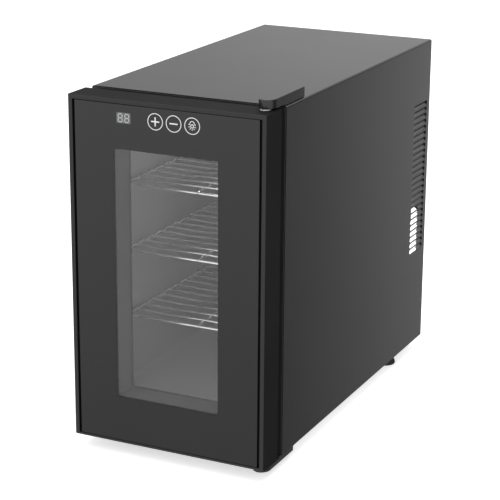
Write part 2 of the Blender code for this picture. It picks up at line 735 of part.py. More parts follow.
def heat_sink(name, width, height, base, fin_end, fins):
    """Base plate with upright fins. base is its (fin side, flat side) along Y."""
    half = width / 2
    fin_side, flat_side = base
    pitch = (width - FIN_THICKNESS) / (fins - 1)
    side = 1 if fin_end < fin_side else -1
    points = [(-side * half, flat_side), (side * half, flat_side)]
    for i in range(fins):
        near = side * (half - i * pitch)
        far = near - side * FIN_THICKNESS
        points += [(near, fin_end), (far, fin_end)]
        if i < fins - 1:
            points += [(far, fin_side), (near - side * pitch, fin_side)]
    low = COOLING_Z - height / 2
    return finish(prism(name, points, "Z", low, low + height), ALUMINIUM, 0.4, 1.0)


def module_front():
    return SHEET_BACK + 0.2 * MM - MODULE_THICKNESS


def hot_sink_front():
    return SHEET_BACK + 0.2 * MM + FIT


def hot_fan_front():
    return hot_sink_front() + SINK_BASE + HOT_SINK_FIN + 1.5 * MM


def cover_inside():
    """Inner face of the front of the cold fan's cover."""
    return CAVITY_BACK - FIT - FAN_COVER_DEPTH + FAN_COVER_WALL


def cold_fan_cover():
    half = FAN_COVER_SIZE / 2
    back = CAVITY_BACK - FIT
    front = back - FAN_COVER_DEPTH
    outline = rounded((-half, half), (COOLING_Z - half, COOLING_Z + half), FAN_COVER_CORNER)
    cover = prism("cold_fan_cover", outline, "Y", front, back)
    room = prism("room", inset(outline, FAN_COVER_WALL), "Y", front + FAN_COVER_WALL, back + MM)
    slots = []
    circle = COLD_FAN_SIZE / 2 - 4 * MM
    for row in range(-3, 4):
        rise = row * FAN_SLOT_PITCH
        chord = math.sqrt(circle**2 - rise**2)
        outline = slot_outline((0, COOLING_Z + rise), 2 * chord, FAN_SLOT_HEIGHT, 2)
        slots.append(prism("slot", outline, "Y", front - MM, front + 2 * FAN_COVER_WALL))
    for side in (-1, 1):
        ends = sorted((side * (half - 3 * FAN_COVER_WALL), side * (half + MM)))
        for row in (-30, -10, 10, 30):
            height = COOLING_Z + row * MM
            slots.append(block("outlet", ends, (back - 8 * MM, back - 3 * MM), (height - 6 * MM, height + 6 * MM)))
    cut(cover, room, combine("slots", slots))
    return finish(cover, LINER_GREY, 0.5)


def cold_set():
    fan_front = cover_inside() + FIT
    centre = (0, COOLING_Z)
    cold_fan_cover()
    fan_frame("cold_fan_frame", COLD_FAN_SIZE, fan_front, COLD_FAN_DEPTH, centre, False)
    fan_rotor("cold_fan_rotor", COLD_FAN_SIZE, fan_front + 3 * MM, fan_front + COLD_FAN_DEPTH - MM, centre)
    block_back = module_front() - FIT
    sink_back = block_back - COLD_BLOCK - FIT
    sink_front = sink_back - SINK_BASE
    heat_sink(
        "cold_heat_sink", COLD_SINK_SIZE, COLD_SINK_SIZE, (sink_front, sink_back),
        sink_front - COLD_SINK_FIN, COLD_SINK_FINS,
    )
    half = MODULE_SIZE / 2
    square = (COOLING_Z - half, COOLING_Z + half)
    conductor = block("cold_block", (-half, half), (block_back - COLD_BLOCK, block_back), square)
    finish(conductor, ALUMINIUM, 0.3, 1.0)
    tile = block("thermoelectric_module", (-half, half), (module_front(), module_front() + MODULE_THICKNESS), square)
    finish(tile, CERAMIC, 0.6)


def hot_set():
    width, height = HOT_SINK_SIZE
    front = hot_sink_front()
    fin_side = front + SINK_BASE
    heat_sink("hot_heat_sink", width, height, (fin_side, front), fin_side + HOT_SINK_FIN, HOT_SINK_FINS)
    fan_front = hot_fan_front()
    centre = (0, COOLING_Z)
    fan_frame("hot_fan_frame", HOT_FAN_SIZE, fan_front, HOT_FAN_DEPTH, centre, True)
    fan_rotor("hot_fan_rotor", HOT_FAN_SIZE, fan_front + 1.5 * MM, fan_front + HOT_FAN_DEPTH - 3.5 * MM, centre)
    fan_guard(fan_front + HOT_FAN_DEPTH + FIT)


def fan_guard(front):
    """Wire rings on two crossed wires, behind the hot fan."""
    centre = (0, COOLING_Z)
    half = HOT_FAN_SIZE / 2
    rings = []
    for radius in (half * 0.34, half * 0.62, half * 0.9):
        profile = [(radius, front), (radius + GUARD_WIRE, front)]
        profile += [(radius + GUARD_WIRE, front + GUARD_WIRE), (radius, front + GUARD_WIRE)]
        rings.append(turned("ring", profile, "Y", centre, 14, tube=True))
    guard = combine("fan_guard", rings)
    reach = half - 2 * MM
    depth = (front + 0.2 * MM, front + GUARD_WIRE - 0.2 * MM)
    across = block("wire", (-reach, reach), depth, (COOLING_Z - MM, COOLING_Z + MM))
    upright = block("wire", (-MM, MM), depth, (COOLING_Z - reach, COOLING_Z + reach))
    join(guard, join(across, upright))
    return finish(guard, STEEL, 0.25, 1.0, smooth=True)


def supply_box():
    """The power supply's (low, high) pairs."""
    right = DOOR_SIDE - SUPPLY_SIDE_MARGIN
    low = BOTTOM + SUPPLY_LOW
    return (right - SUPPLY_WIDTH, right), (SHEET_BACK + FIT, COVER_FRONT - 2 * MM), (low, low + SUPPLY_HEIGHT)


def power_supply():
    x, y, z = supply_box()
    wall = SUPPLY_WALL
    housing = block("power_supply_housing", x, y, z)
    room = block(
        "room", (x[0] + wall, x[1] - wall), (y[0] - MM, y[1] - wall), (z[0] + wall, z[1] - wall)
    )
    slots = []
    middle = (x[0] + x[1]) / 2
    for row in range(6):
        height = z[0] + (row + 1.5) * SUPPLY_HEIGHT / 8
        outline = slot_outline((middle, height), SUPPLY_WIDTH * 0.6, 3.5 * MM)
        slots.append(prism("slot", outline, "Y", y[1] - 2 * wall, y[1] + MM))
    cut(housing, room, combine("slots", slots))
    finish(housing, BLACK, 0.55)
    edge = wall + 2 * MM
    board_front = y[0] + 8 * MM
    board_back = board_front + BOARD_THICKNESS
    board = block(
        "power_supply_board", (x[0] + edge, x[1] - edge), (board_front, board_back),
        (z[0] + edge, z[1] - edge),
    )
    sunk = board_back - MM / 2
    transformer = block(
        "transformer", (middle - 12 * MM, middle + 12 * MM), (sunk, sunk + 20 * MM),
        (z[0] + 45 * MM, z[0] + 69 * MM),
    )
    big = rod("capacitor", 8 * MM, "Y", (middle, z[0] + 92 * MM), sunk, sunk + 28 * MM, 12)
    small = rod("capacitor", 5 * MM, "Y", (middle - 6 * MM, z[0] + 22 * MM), sunk, sunk + 15 * MM, 10)
    join(board, combine("components", [transformer, big, small]))
    finish(board, BOARD_GREEN, 0.6, smooth=True)


def inlet_socket():
    """Mains inlet with three pins, clipped into the rear cover."""
    z = BOTTOM + INLET_HEIGHT
    flange_back = COVER_BACK + FIT + 2.2 * MM
    body_front = COVER_FRONT - INLET_DEPTH

    def across(size, grow=0.0):
        half_width = size[0] / 2 + grow
        half_height = size[1] / 2 + grow
        return (-INLET_X - half_width, -INLET_X + half_width), (z - half_height, z + half_height)

    flange_x, flange_z = across(INLET_FLANGE)
    socket = prism("inlet_socket", rounded(flange_x, flange_z, 2 * MM), "Y", COVER_BACK + FIT, flange_back)
    body_x, body_z = across(INLET_BODY)
    join(socket, block("body", body_x, (body_front, COVER_BACK + MM), body_z))
    well_x, well_z = across(INLET_BODY, -2.4 * MM)
    chamfer = 4 * MM
    outline = [(well_x[0], well_z[0]), (well_x[1], well_z[0]), (well_x[1], well_z[1] - chamfer)]
    outline += [(well_x[1] - chamfer, well_z[1]), (well_x[0] + chamfer, well_z[1])]
    outline += [(well_x[0], well_z[1] - chamfer)]
    floor = body_front + 3 * MM
    cut(socket, prism("well", outline, "Y", floor, flange_back + MM))
    pins = []
    for x, lift in ((-7, -1.5), (0, 2.5), (7, -1.5)):
        left = -INLET_X + x * MM - MM
        middle = z + lift * MM
        pin_z = (middle - 2 * MM, middle + 2 * MM)
        pins.append(block("pin", (left, left + 2 * MM), (floor - MM, flange_back - 4 * MM), pin_z))
    join(socket, combine("pins", pins))
    return finish(socket, BLACK, 0.5)


def smooth_route(points, steps=4):
    """Points on a smooth curve through the route's own points. The first and last spans stay straight."""
    route = [points[0]]
    for before, here, after, beyond in zip(points, points[1:], points[2:], points[3:]):
        for i in range(steps):
            t = i / steps
            a = 2 * here
            b = (after - before) * t
            c = (2 * before - 5 * here + 4 * after - beyond) * t**2
            d = (3 * here - before - 3 * after + beyond) * t**3
            route.append((a + b + c + d) / 2)
    return [*route, *points[-2:]]


def lead(name, points, radius):
    curve = bpy.data.curves.new(name, "CURVE")
    curve.dimensions = "3D"
    curve.bevel_depth = radius
    curve.bevel_resolution = 1
    curve.use_fill_caps = True
    route = smooth_route([Vector(point) for point in points])
    spline = curve.splines.new("POLY")
    spline.points.add(len(route) - 1)
    for target, point in zip(spline.points, route):
        target.co = (*point, 1)
    obj = bpy.data.objects.new(name, curve)
    bpy.context.scene.collection.objects.link(obj)
    material = bpy.data.materials.new(name)
    material.use_nodes = True
    shader = material.node_tree.nodes["Principled BSDF"]
    shader.inputs["Base Color"].default_value = (*BLACK, 1)
    shader.inputs["Roughness"].default_value = 0.6
    curve.materials.append(material)


def leads():
    """The two thick wires of the machine compartment: inlet to supply, and supply to hot fan."""
    supply_x, _, supply_z = supply_box()
    under_supply = supply_z[0] - FIT
    inlet_front = COVER_FRONT - INLET_DEPTH - FIT
    floor = PAN_FLOOR + LEAD_RADIUS + 2 * MM
    right = (supply_x[0] + supply_x[1]) / 2
    middle_y = (FOAM_BACK + COVER_FRONT) / 2
    inlet_z = BOTTOM + INLET_HEIGHT
    mains = [(-INLET_X, inlet_front, inlet_z), (-INLET_X, inlet_front - 14 * MM, inlet_z)]
    mains += [(-INLET_X + 22 * MM, middle_y - 6 * MM, floor + 6 * MM), (-INLET_X / 2, middle_y, floor)]
    mains += [(INLET_X / 2, middle_y, floor), (right - 8 * MM, middle_y, floor + 10 * MM)]
    mains += [(right, middle_y, floor + 45 * MM), (right, middle_y, under_supply)]
    lead("mains_lead", mains, LEAD_RADIUS)
    fan_side = HOT_FAN_SIZE / 2 + FIT
    fan_y = hot_fan_front() + HOT_FAN_DEPTH / 2
    start = (supply_x[0] + 9 * MM, fan_y, under_supply)
    drop = COOLING_Z + 20 * MM
    fan = [start, (start[0], fan_y, start[2] - 12 * MM), (start[0] - 2 * MM, fan_y, drop + 10 * MM)]
    fan += [(fan_side + 6 * MM, fan_y, drop), (fan_side, fan_y, drop)]
    lead("hot_fan_lead", fan, LEAD_RADIUS / 2)


def lamp():
    """Lamp under the roof of the cavity: a moulded lens over a small board."""
    length, width, height = LAMP_SIZE
    front = CABINET_FRONT + LAMP_FRONT
    top = CAVITY_HIGH - FIT
    outline = rounded((-length / 2, length / 2), (front, front + width), 3 * MM)
    lens = prism("lamp_lens", outline, "Z", top - height, top)
    cut(lens, prism("room", inset(outline, LAMP_WALL), "Z", top - height + LAMP_WALL, top + MM))
    finish(lens, CERAMIC, 0.4)
    side = length / 2 - LAMP_WALL - MM
    edge = LAMP_WALL + MM
    board = block("lamp_board", (-side, side), (front + edge, front + width - edge), (top - 1.8 * MM, top - 0.4 * MM))
    chips = []
    for x in (-12, 0, 12):
        chip_x = (x * MM - 1.7 * MM, x * MM + 1.7 * MM)
        middle = front + width / 2
        chips.append(
            block("chip", chip_x, (middle - 1.4 * MM, middle + 1.4 * MM), (top - 2.8 * MM, top - 1.6 * MM))
        )
    join(board, combine("chips", chips))
    finish(board, CERAMIC, 0.5)


def temperature_sensor():
    """Sensor capsule held upright on the cavity's back wall."""
    z = BOTTOM + SENSOR_HEIGHT
    y = CAVITY_BACK - 6 * MM
    low = z - SENSOR_LENGTH / 2
    high = z + SENSOR_LENGTH / 2
    profile = [(0, low), (SENSOR_RADIUS - MM, low), (SENSOR_RADIUS, low + MM)]
    profile += [(SENSOR_RADIUS, high - MM), (SENSOR_RADIUS - MM, high), (0, high)]
    capsule = turned("temperature_sensor", profile, "Z", (SENSOR_X, y), 12)
    clip = block("clip", (SENSOR_X - 2 * MM, SENSOR_X + 2 * MM), (y, CAVITY_BACK - FIT), (z - 4 * MM, z + 4 * MM))
    return finish(join(capsule, clip), CERAMIC, 0.5, smooth=True)


# Hinges


def hinge_outline(plan):
    """Plan of a hinge plate: a slanted left side, and one round corner at the front on the right."""
    front = FRONT + plan[0]
    back = FRONT + plan[1]
    left_back = DOOR_SIDE - plan[2]
    right = DOOR_SIDE - plan[3]
    middle = right - HINGE_CORNER
    tip = arc((middle, front + HINGE_CORNER), HINGE_CORNER, 270, 360, 4)
    nose = (middle - HINGE_NOSE[0], front + HINGE_NOSE[1])
    return [nose, *tip, (right, back), (left_back, back)]


def anchor_block(name, low, high, grow=0.0):
    """The plate inside the wall that the hinge screws bite in, or room for it."""
    places = hinge_screw_places()
    left = places[0][0] - 8 * MM - grow
    right = places[1][0] + 9 * MM + grow
    front = places[0][1] - 9 * MM - grow
    back = places[0][1] + 9 * MM + grow
    return block(name, (left, right), (front, back), (low, high))


def anchor(name, low):
    plate = anchor_block(name, low, low + ANCHOR_THICKNESS)
    holes = []
    for place in hinge_screw_places():
        holes.append(rod("hole", SCREW_RADIUS + FIT, "Z", place, low - MM, low + ANCHOR_THICKNESS + MM, 12))
    return finish(cut(plate, combine("holes", holes)), STEEL, 0.4, 1.0)


def screw_and_pin_holes(low, high):
    holes = [rod("hole", PIN_RADIUS + FIT, "Z", (HINGE_X, HINGE_Y), low, high)]
    for place in hinge_screw_places():
        holes.append(rod("hole", SCREW_RADIUS + FIT, "Z", place, low, high, 12))
    return combine("holes", holes)


def top_hinge_bracket():
    """Steel plate on the roof that steps up over the door."""
    outline = hinge_outline(TOP_HINGE_PLAN)
    low = TOP + FIT
    high = low + HINGE_PLATE
    step = CABINET_FRONT - HINGE_STEP
    side = [(BACK, low), (BACK, high), (CABINET_FRONT, high), (step, high + HINGE_JOGGLE)]
    side += [(FRONT, high + HINGE_JOGGLE), (FRONT, low + HINGE_JOGGLE)]
    side += [(step, low + HINGE_JOGGLE), (CABINET_FRONT, low)]
    bracket = prism("top_hinge_bracket", inset(outline, HINGE_COVER_WALL + FIT), "Z", TOP, TOP + 9 * MM)
    boolean(bracket, [prism("side", side, "X", 0, DOOR_SIDE)], "INTERSECT")
    cut(bracket, screw_and_pin_holes(TOP - MM, TOP + 10 * MM))
    return finish(bracket, STEEL, 0.4, 1.0)


def hinge_cover():
    """Moulded cap over the top bracket, open underneath."""
    outline = hinge_outline(TOP_HINGE_PLAN)
    low = TOP + FIT
    high = TOP + HINGE_COVER_RISE
    cover = prism("hinge_cover", outline, "Z", low, high)
    room = prism("room", inset(outline, HINGE_COVER_WALL), "Z", low - MM, high - HINGE_COVER_WALL)
    over_door = block(
        "over_door", (0, DOOR_SIDE), (FRONT, CABINET_FRONT - MM), (low - MM, TOP + 1.8 * MM)
    )
    cut(cover, room, over_door)
    return finish(cover, DARK_GREY, 0.45)


def bottom_hinge_bracket():
    """Steel pan under the cabinet's front corner that carries the door's weight."""
    outline = hinge_outline(BOTTOM_HINGE_PLAN)
    low = BOTTOM - BOTTOM_HINGE_DROP
    bracket = prism("bottom_hinge_bracket", outline, "Z", low, BOTTOM)
    inner = inset(outline, HINGE_PLATE)
    room = prism("room", inner, "Z", low - MM, BOTTOM - HINGE_PLATE)
    step = CABINET_FRONT - HINGE_STEP
    room_low = BOTTOM - HINGE_PLATE - HINGE_JOGGLE
    keep = block("keep", (0, DOOR_SIDE), (FRONT, step), (room_low, BOTTOM + MM))
    over = block("over", (0, DOOR_SIDE), (FRONT - MM, step), (BOTTOM - HINGE_JOGGLE, BOTTOM + MM))
    cut(bracket, cut(room, keep), over)
    cut(bracket, screw_and_pin_holes(low - MM, BOTTOM + MM))
    return finish(bracket, DARK_GREY, 0.45, 0.6)


def hinge_pin(name, head, shoulder, end):
    """A headed pin. head is the far face of its head, shoulder the near one, end the tip in the door."""
    chamfer = math.copysign(MM, end - head)
    profile = [(0, head), (PIN_HEAD_RADIUS, head), (PIN_HEAD_RADIUS, shoulder), (PIN_RADIUS, shoulder)]
    profile += [(PIN_RADIUS, end - chamfer), (PIN_RADIUS - MM, end), (0, end)]
    pin = turned(name, profile, "Z", (HINGE_X, HINGE_Y), 16)
    return finish(pin, STEEL, 0.3, 1.0, origin=(HINGE_X, HINGE_Y, end), smooth=True)


def door_bush(name, face, inward):
    """Flanged plastic sleeve in the door's end, which turns on the pin. inward is +1 or -1 along Z."""
    inner = PIN_RADIUS + FIT
    outer = inner + BUSH_WALL
    flange_near = face - inward * FIT
    flange_far = flange_near - inward * BUSH_FLANGE
    end = face + inward * BUSH_LENGTH
    profile = [(inner, flange_far), (outer + 1.3 * MM, flange_far), (outer + 1.3 * MM, flange_near)]
    profile += [(outer, flange_near), (outer, end), (inner, end)]
    bush = turned(name, profile, "Z", (HINGE_X, HINGE_Y), 16, tube=True)
    return finish(bush, CERAMIC, 0.5, origin=(HINGE_X, HINGE_Y, face), smooth=True)


def hinge_screw(name, place, under_head, into):
    """A pan head screw. into is the way that its shank points along Z."""
    chamfer = MM * into
    profile = [(0, under_head - SCREW_HEAD * into), (SCREW_HEAD_RADIUS - MM, under_head - SCREW_HEAD * into)]
    profile += [(SCREW_HEAD_RADIUS, under_head - SCREW_HEAD * into + chamfer)]
    profile += [(SCREW_HEAD_RADIUS, under_head), (SCREW_RADIUS, under_head)]
    profile += [(SCREW_RADIUS, under_head + SCREW_LENGTH * into - chamfer)]
    profile += [(SCREW_RADIUS - MM, under_head + SCREW_LENGTH * into), (0, under_head + SCREW_LENGTH * into)]
    screw = turned(name, profile, "Z", place, 12)
    return finish(screw, STEEL, 0.35, 1.0, smooth=True)


def hinges():
    hinge_cover()
    top_hinge_bracket()
    bottom_hinge_bracket()
    anchor("top_hinge_anchor", UNDER_ROOF - ANCHOR_THICKNESS)
    anchor("bottom_hinge_anchor", ON_PAN)
    over_door = TOP + FIT + HINGE_JOGGLE + HINGE_PLATE + FIT
    hinge_pin("top_hinge_pin", over_door + PIN_HEAD, over_door, TOP - PIN_REACH)
    under_door = BOTTOM - HINGE_JOGGLE - HINGE_PLATE - FIT
    hinge_pin("bottom_hinge_pin", under_door - PIN_HEAD, under_door, BOTTOM + PIN_REACH)
    on_plate = TOP + FIT + HINGE_PLATE + FIT
    under_plate = BOTTOM - HINGE_PLATE - FIT
    for name, place in zip(("left", "right"), hinge_screw_places()):
        hinge_screw("top_hinge_screw_" + name, place, on_plate, -1)
        hinge_screw("bottom_hinge_screw_" + name, place, under_plate, 1)


# Door


def window_block(name, grow, y):
    half = WINDOW_WIDTH / 2 + grow
    return block(name, (-half, half), y, (WINDOW_LOW_Z - grow, WINDOW_HIGH_Z + grow))


def control_band(name, margin, y):
    """A block behind the controls, which the board's margin is taken off."""
    left = DIGITS_X - DIGITS_SIZE[0] / 2 - BOARD_MARGIN - 4 * MM + margin
    right = TOUCH_X[-1] + TOUCH_RADIUS + BOARD_MARGIN + 4 * MM - margin
    half = CONTROL_BAND / 2 - margin
    return block(name, (left, right), y, (CONTROL_Z - half, CONTROL_Z + half))


def bush_room(low, high):
    radius = PIN_RADIUS + FIT + BUSH_WALL + FIT
    return rod("room", radius, "Z", (HINGE_X, HINGE_Y), low, high, 16)


def door_frame():
    """Moulded frame: outer walls, the web that the glass is bonded on, and the walls of the window."""
    back = PANEL_FRONT - FIT
    frame = block("door_frame", (-DOOR_SIDE, DOOR_SIDE), (FRONT, back), (BOTTOM, TOP))
    inner = DOOR_SIDE - LIP
    low = BOTTOM + BOTTOM_LIP
    high = TOP - LIP
    glass_room = block("glass_room", (-inner, inner), (FRONT - MM, WEB_FRONT), (low, high))
    hollow = block("hollow", (-inner, inner), (WEB_BACK, back + MM), (low, high))
    cut(hollow, window_block("kept", TUNNEL_WALL, (WEB_FRONT - MM, PANE_FRONT - FIT)))
    opening = window_block("opening", 0, (WEB_FRONT - MM, DOOR_BACK))
    controls = control_band("controls", 0, (WEB_FRONT - MM, WEB_BACK + MM))
    cut(frame, glass_room, hollow, opening, controls)
    cut(frame, bush_room(BOTTOM - MM, BOTTOM + 2 * LIP), bush_room(TOP - 2 * LIP, TOP + MM))
    return finish(frame, BLACK, 0.4)


def door_foam():
    inner = DOOR_SIDE - LIP - FIT
    low = BOTTOM + BOTTOM_LIP + FIT
    high = TOP - LIP - FIT
    foam = block("door_foam", (-inner, inner), (WEB_BACK + FIT, PANE_FRONT - FIT), (low, high))
    opening = window_block("opening", TUNNEL_WALL + FIT, (WEB_BACK - MM, PANE_BACK))
    pocket = control_band("pocket", -MM, (WEB_BACK - MM, WEB_BACK + CONTROL_POCKET))
    cut(foam, opening, pocket)
    end = BUSH_LENGTH + MM
    cut(foam, bush_room(BOTTOM - MM, BOTTOM + end), bush_room(TOP - end, TOP + MM))
    return finish(foam, FOAM, 0.9)


def door_back_panel():
    side = DOOR_SIDE - BACK_PANEL_INSET
    depth = (PANEL_FRONT, DOOR_BACK)
    panel = block("door_back_panel", (-side, side), depth, (BOTTOM + BACK_PANEL_INSET, TOP - BACK_PANEL_INSET))
    return finish(cut(panel, window_block("opening", 0, (PANEL_FRONT - MM, DOOR_BACK + MM))), BLACK, 0.5)


def door_glass():
    side = DOOR_SIDE - LIP - GLASS_GROOVE
    low = BOTTOM + BOTTOM_LIP + FIT
    high = TOP - LIP - FIT
    outline = rounded((-side, side), (low, high), MM, 2)
    finish(prism("front_glass", outline, "Y", FRONT + FIT, GLASS_BACK), BLACK, 0.08)
    pane = window_block("inner_glass", PANE_OVERLAP, (PANE_FRONT, PANE_BACK))
    finish(pane, CERAMIC, 0.05)


def opening_ring(name, near, far, y):
    """A frame round the cabinet's opening, from near to far outside its edge."""
    outer = CAVITY_SIDE + far
    ring = block(name, (-outer, outer), y, (CAVITY_LOW - far, CAVITY_HIGH + far))
    inner = CAVITY_SIDE + near
    hole = block("hole", (-inner, inner), (y[0] - MM, y[1] + MM), (CAVITY_LOW - near, CAVITY_HIGH + near))
    return cut(ring, hole)


def door_gasket():
    """Soft gasket with a channel that holds the magnet."""
    front = DOOR_BACK + FIT
    back = CABINET_FRONT - FIT
    near = GASKET_INSET
    far = near + GASKET_WIDTH
    gasket = opening_ring("door_gasket", near, far, (front, back))
    channel_back = back - GASKET_WALL
    channel = opening_ring("channel", near + GASKET_WALL, far - GASKET_WALL, (front - MM, channel_back))
    finish(cut(gasket, channel), BLACK, 0.8)
    magnet_back = channel_back - FIT
    margin = GASKET_WALL + FIT
    magnet = opening_ring(
        "gasket_magnet", near + margin, far - margin, (magnet_back - MAGNET_THICKNESS, magnet_back)
    )
    finish(magnet, DARK_GREY, 0.7)


def controls():
    """Board behind the glass with the digit display and three touch pads on it."""
    face = WEB_FRONT
    board_front = face + DISPLAY_DEPTH + FIT
    board = control_band("control_board", MM, (board_front, board_front + BOARD_THICKNESS))
    pads = []
    for x in TOUCH_X:
        pads.append(rod("pad", TOUCH_RADIUS, "Y", (x, CONTROL_Z), face, board_front + MM / 2, 12))
    join(board, combine("pads", pads))
    finish(board, BOARD_GREEN, 0.6)
    half_width = DIGITS_SIZE[0] / 2 + MM
    half_height = DIGITS_SIZE[1] / 2 + MM
    display = block(
        "digit_display", (DIGITS_X - half_width, DIGITS_X + half_width), (face, face + DISPLAY_DEPTH),
        (CONTROL_Z - half_height, CONTROL_Z + half_height),
    )
    finish(display, DARK_GREY, 0.4)


DOOR_PIECES = (
    "door_frame", "door_foam", "door_back_panel", "front_glass", "inner_glass", "door_gasket",
    "gasket_magnet", "control_board", "digit_display", "door_bush_top", "door_bush_bottom",
)


def door():
    door_frame()
    door_foam()
    door_back_panel()
    door_glass()
    door_gasket()
    controls()
    door_bush("door_bush_top", TOP, -1)
    door_bush("door_bush_bottom", BOTTOM, 1)


def hang_door():
    """Parents the door's pieces to an empty on the hinge axis."""
    axis = bpy.data.objects.new("door_axis", None)
    axis.location = (HINGE_X, HINGE_Y, BOTTOM)
    bpy.context.scene.collection.objects.link(axis)
    bpy.context.view_layer.update()
    for name in DOOR_PIECES:
        piece = bpy.data.objects[name]
        piece.parent = axis
        piece.matrix_parent_inverse = axis.matrix_world.inverted()


def cabinet():
    outer_shell()
    base_pan()
    for name, place in foot_places().items():
        foot(name, place)
    front_frame()
    inner_liner()
    insulation_foam()
    foam_back_sheet()
    rear_cover()
    for name, place in cover_screw_places().items():
        cover_screw(name, place)


def inside():
    for name, level in SHELF_LEVELS.items():
        wire_shelf(name, level)
    cold_set()
    hot_set()
    power_supply()
    inlet_socket()
    leads()
    lamp()
    temperature_sensor()


def main():
    clear_scene()
    cabinet()
    inside()
    hinges()
    door()
    hang_door()


main()
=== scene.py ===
"""Finish of a small wine cooler with a glazed door: pieces, surfaces and a studio round its CAD frame.

Metres, Z up, the door facing -Y. Every piece takes its place from the frame's own nodes.
"""

import math

import bmesh
import bpy
from bpy.props import FloatProperty, FloatVectorProperty, IntProperty, PointerProperty
from mathutils import Matrix, Vector


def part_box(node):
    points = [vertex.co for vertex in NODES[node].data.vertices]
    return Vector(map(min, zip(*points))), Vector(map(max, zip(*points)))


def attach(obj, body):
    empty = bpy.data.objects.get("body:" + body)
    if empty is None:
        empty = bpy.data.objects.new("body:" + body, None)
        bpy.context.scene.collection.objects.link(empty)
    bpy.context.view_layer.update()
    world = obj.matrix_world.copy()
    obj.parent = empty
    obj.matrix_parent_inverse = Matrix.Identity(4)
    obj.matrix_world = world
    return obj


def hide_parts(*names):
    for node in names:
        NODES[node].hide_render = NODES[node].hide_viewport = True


bl_info = {
    "name": "Wine cooler finish",
    "version": (1, 0, 0),
    "blender": (4, 5, 0),
    "location": "3D View > Sidebar > Cooler",
    "description": "Builds the finish of a small thermoelectric wine cooler round its CAD frame",
    "category": "Object",
}

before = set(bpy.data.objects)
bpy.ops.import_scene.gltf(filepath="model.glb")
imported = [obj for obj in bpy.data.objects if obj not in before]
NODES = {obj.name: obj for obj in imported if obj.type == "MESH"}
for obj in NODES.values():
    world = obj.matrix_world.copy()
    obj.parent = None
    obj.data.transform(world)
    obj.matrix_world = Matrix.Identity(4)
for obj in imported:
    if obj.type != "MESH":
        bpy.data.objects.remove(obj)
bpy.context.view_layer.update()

MM = 0.001
FIT = 0.3 * MM

# Planes of the frame that more than one piece uses
SHELL_LOW, SHELL_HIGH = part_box("outer_shell")
DOOR_LOW, DOOR_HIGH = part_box("door_frame")
GLASS_LOW, GLASS_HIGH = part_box("front_glass")
PANE_LOW, PANE_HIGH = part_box("inner_glass")
LINER_LOW, LINER_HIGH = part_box("inner_liner")
COVER_LOW, COVER_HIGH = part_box("rear_cover")
TRIM_LOW, TRIM_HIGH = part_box("front_frame")
GUARD_LOW, GUARD_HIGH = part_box("fan_guard")
PIN_LOW, PIN_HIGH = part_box("top_hinge_pin")
TOP = SHELL_HIGH.z
BOTTOM = SHELL_LOW.z
FRONT = DOOR_LOW.y
LINER_WALL = 1.5 * MM
CAVITY_SIDE = LINER_HIGH.x - LINER_WALL
CAVITY_LOW = LINER_LOW.z + LINER_WALL
CAVITY_HIGH = LINER_HIGH.z - LINER_WALL
CAVITY_BACK = LINER_HIGH.y - LINER_WALL
COOLING_Z = (GUARD_LOW.z + GUARD_HIGH.z) / 2
HINGE_X = (PIN_LOW.x + PIN_HIGH.x) / 2
HINGE_Y = (PIN_LOW.y + PIN_HIGH.y) / 2
PANE_OVERLAP = 4.2 * MM
WINDOW_X = (PANE_LOW.x + PANE_OVERLAP, PANE_HIGH.x - PANE_OVERLAP)
WINDOW_Z = (PANE_LOW.z + PANE_OVERLAP, PANE_HIGH.z - PANE_OVERLAP)

# Outlines, as lists of (u, v) points


def arc(centre, radius, start, end, steps):
    """Points on an arc from the start angle to the end angle in degrees."""
    points = []
    for i in range(steps + 1):
        angle = math.radians(start + (end - start) * i / steps)
        points.append((centre[0] + radius * math.cos(angle), centre[1] + radius * math.sin(angle)))
    return points


def circle(centre, radius, steps=40):
    return arc(centre, radius, 0, 360, steps)[:-1]


def rounded(u, v, radius, steps=6):
    """A rectangle with round corners, anticlockwise, from its (low, high) pairs."""
    outline = []
    corners = ((u[1], v[1], 0), (u[0], v[1], 90), (u[0], v[0], 180), (u[1], v[0], 270))
    for corner_u, corner_v, start in corners:
        centre_u = corner_u + (-radius if corner_u == u[1] else radius)
        centre_v = corner_v + (-radius if corner_v == v[1] else radius)
        outline += arc((centre_u, centre_v), radius, start, start + 90, steps)
    return outline


def slot(middle, length, height, steps=8):
    reach = length / 2 - height / 2
    right = arc((middle[0] + reach, middle[1]), height / 2, -90, 90, steps)
    left = arc((middle[0] - reach, middle[1]), height / 2, 90, 270, steps)
    return right + left


def inset(outline, distance):
    """A convex anticlockwise outline with each side moved inwards."""
    moved = []
    for i, point in enumerate(outline):
        here = Vector(point)
        entry = (here - Vector(outline[i - 1])).normalized()
        leave = (Vector(outline[(i + 1) % len(outline)]) - here).normalized()
        normal = Vector((-entry.y, entry.x))
        middle = (normal + Vector((-leave.y, leave.x))).normalized()
        moved.append(tuple(here + middle * distance / middle.dot(normal)))
    return moved


def grow(pair, distance):
    return pair[0] - distance, pair[1] + distance


# Solids, each added to a bmesh


def on_axis(axis, u, v, w):
    return {"X": (w, u, v), "Y": (u, w, v), "Z": (u, v, w)}[axis]


def merge(bm, other):
    mesh = bpy.data.meshes.new("part")
    other.to_mesh(mesh)
    other.free()
    bm.from_mesh(mesh)
    bpy.data.meshes.remove(mesh)


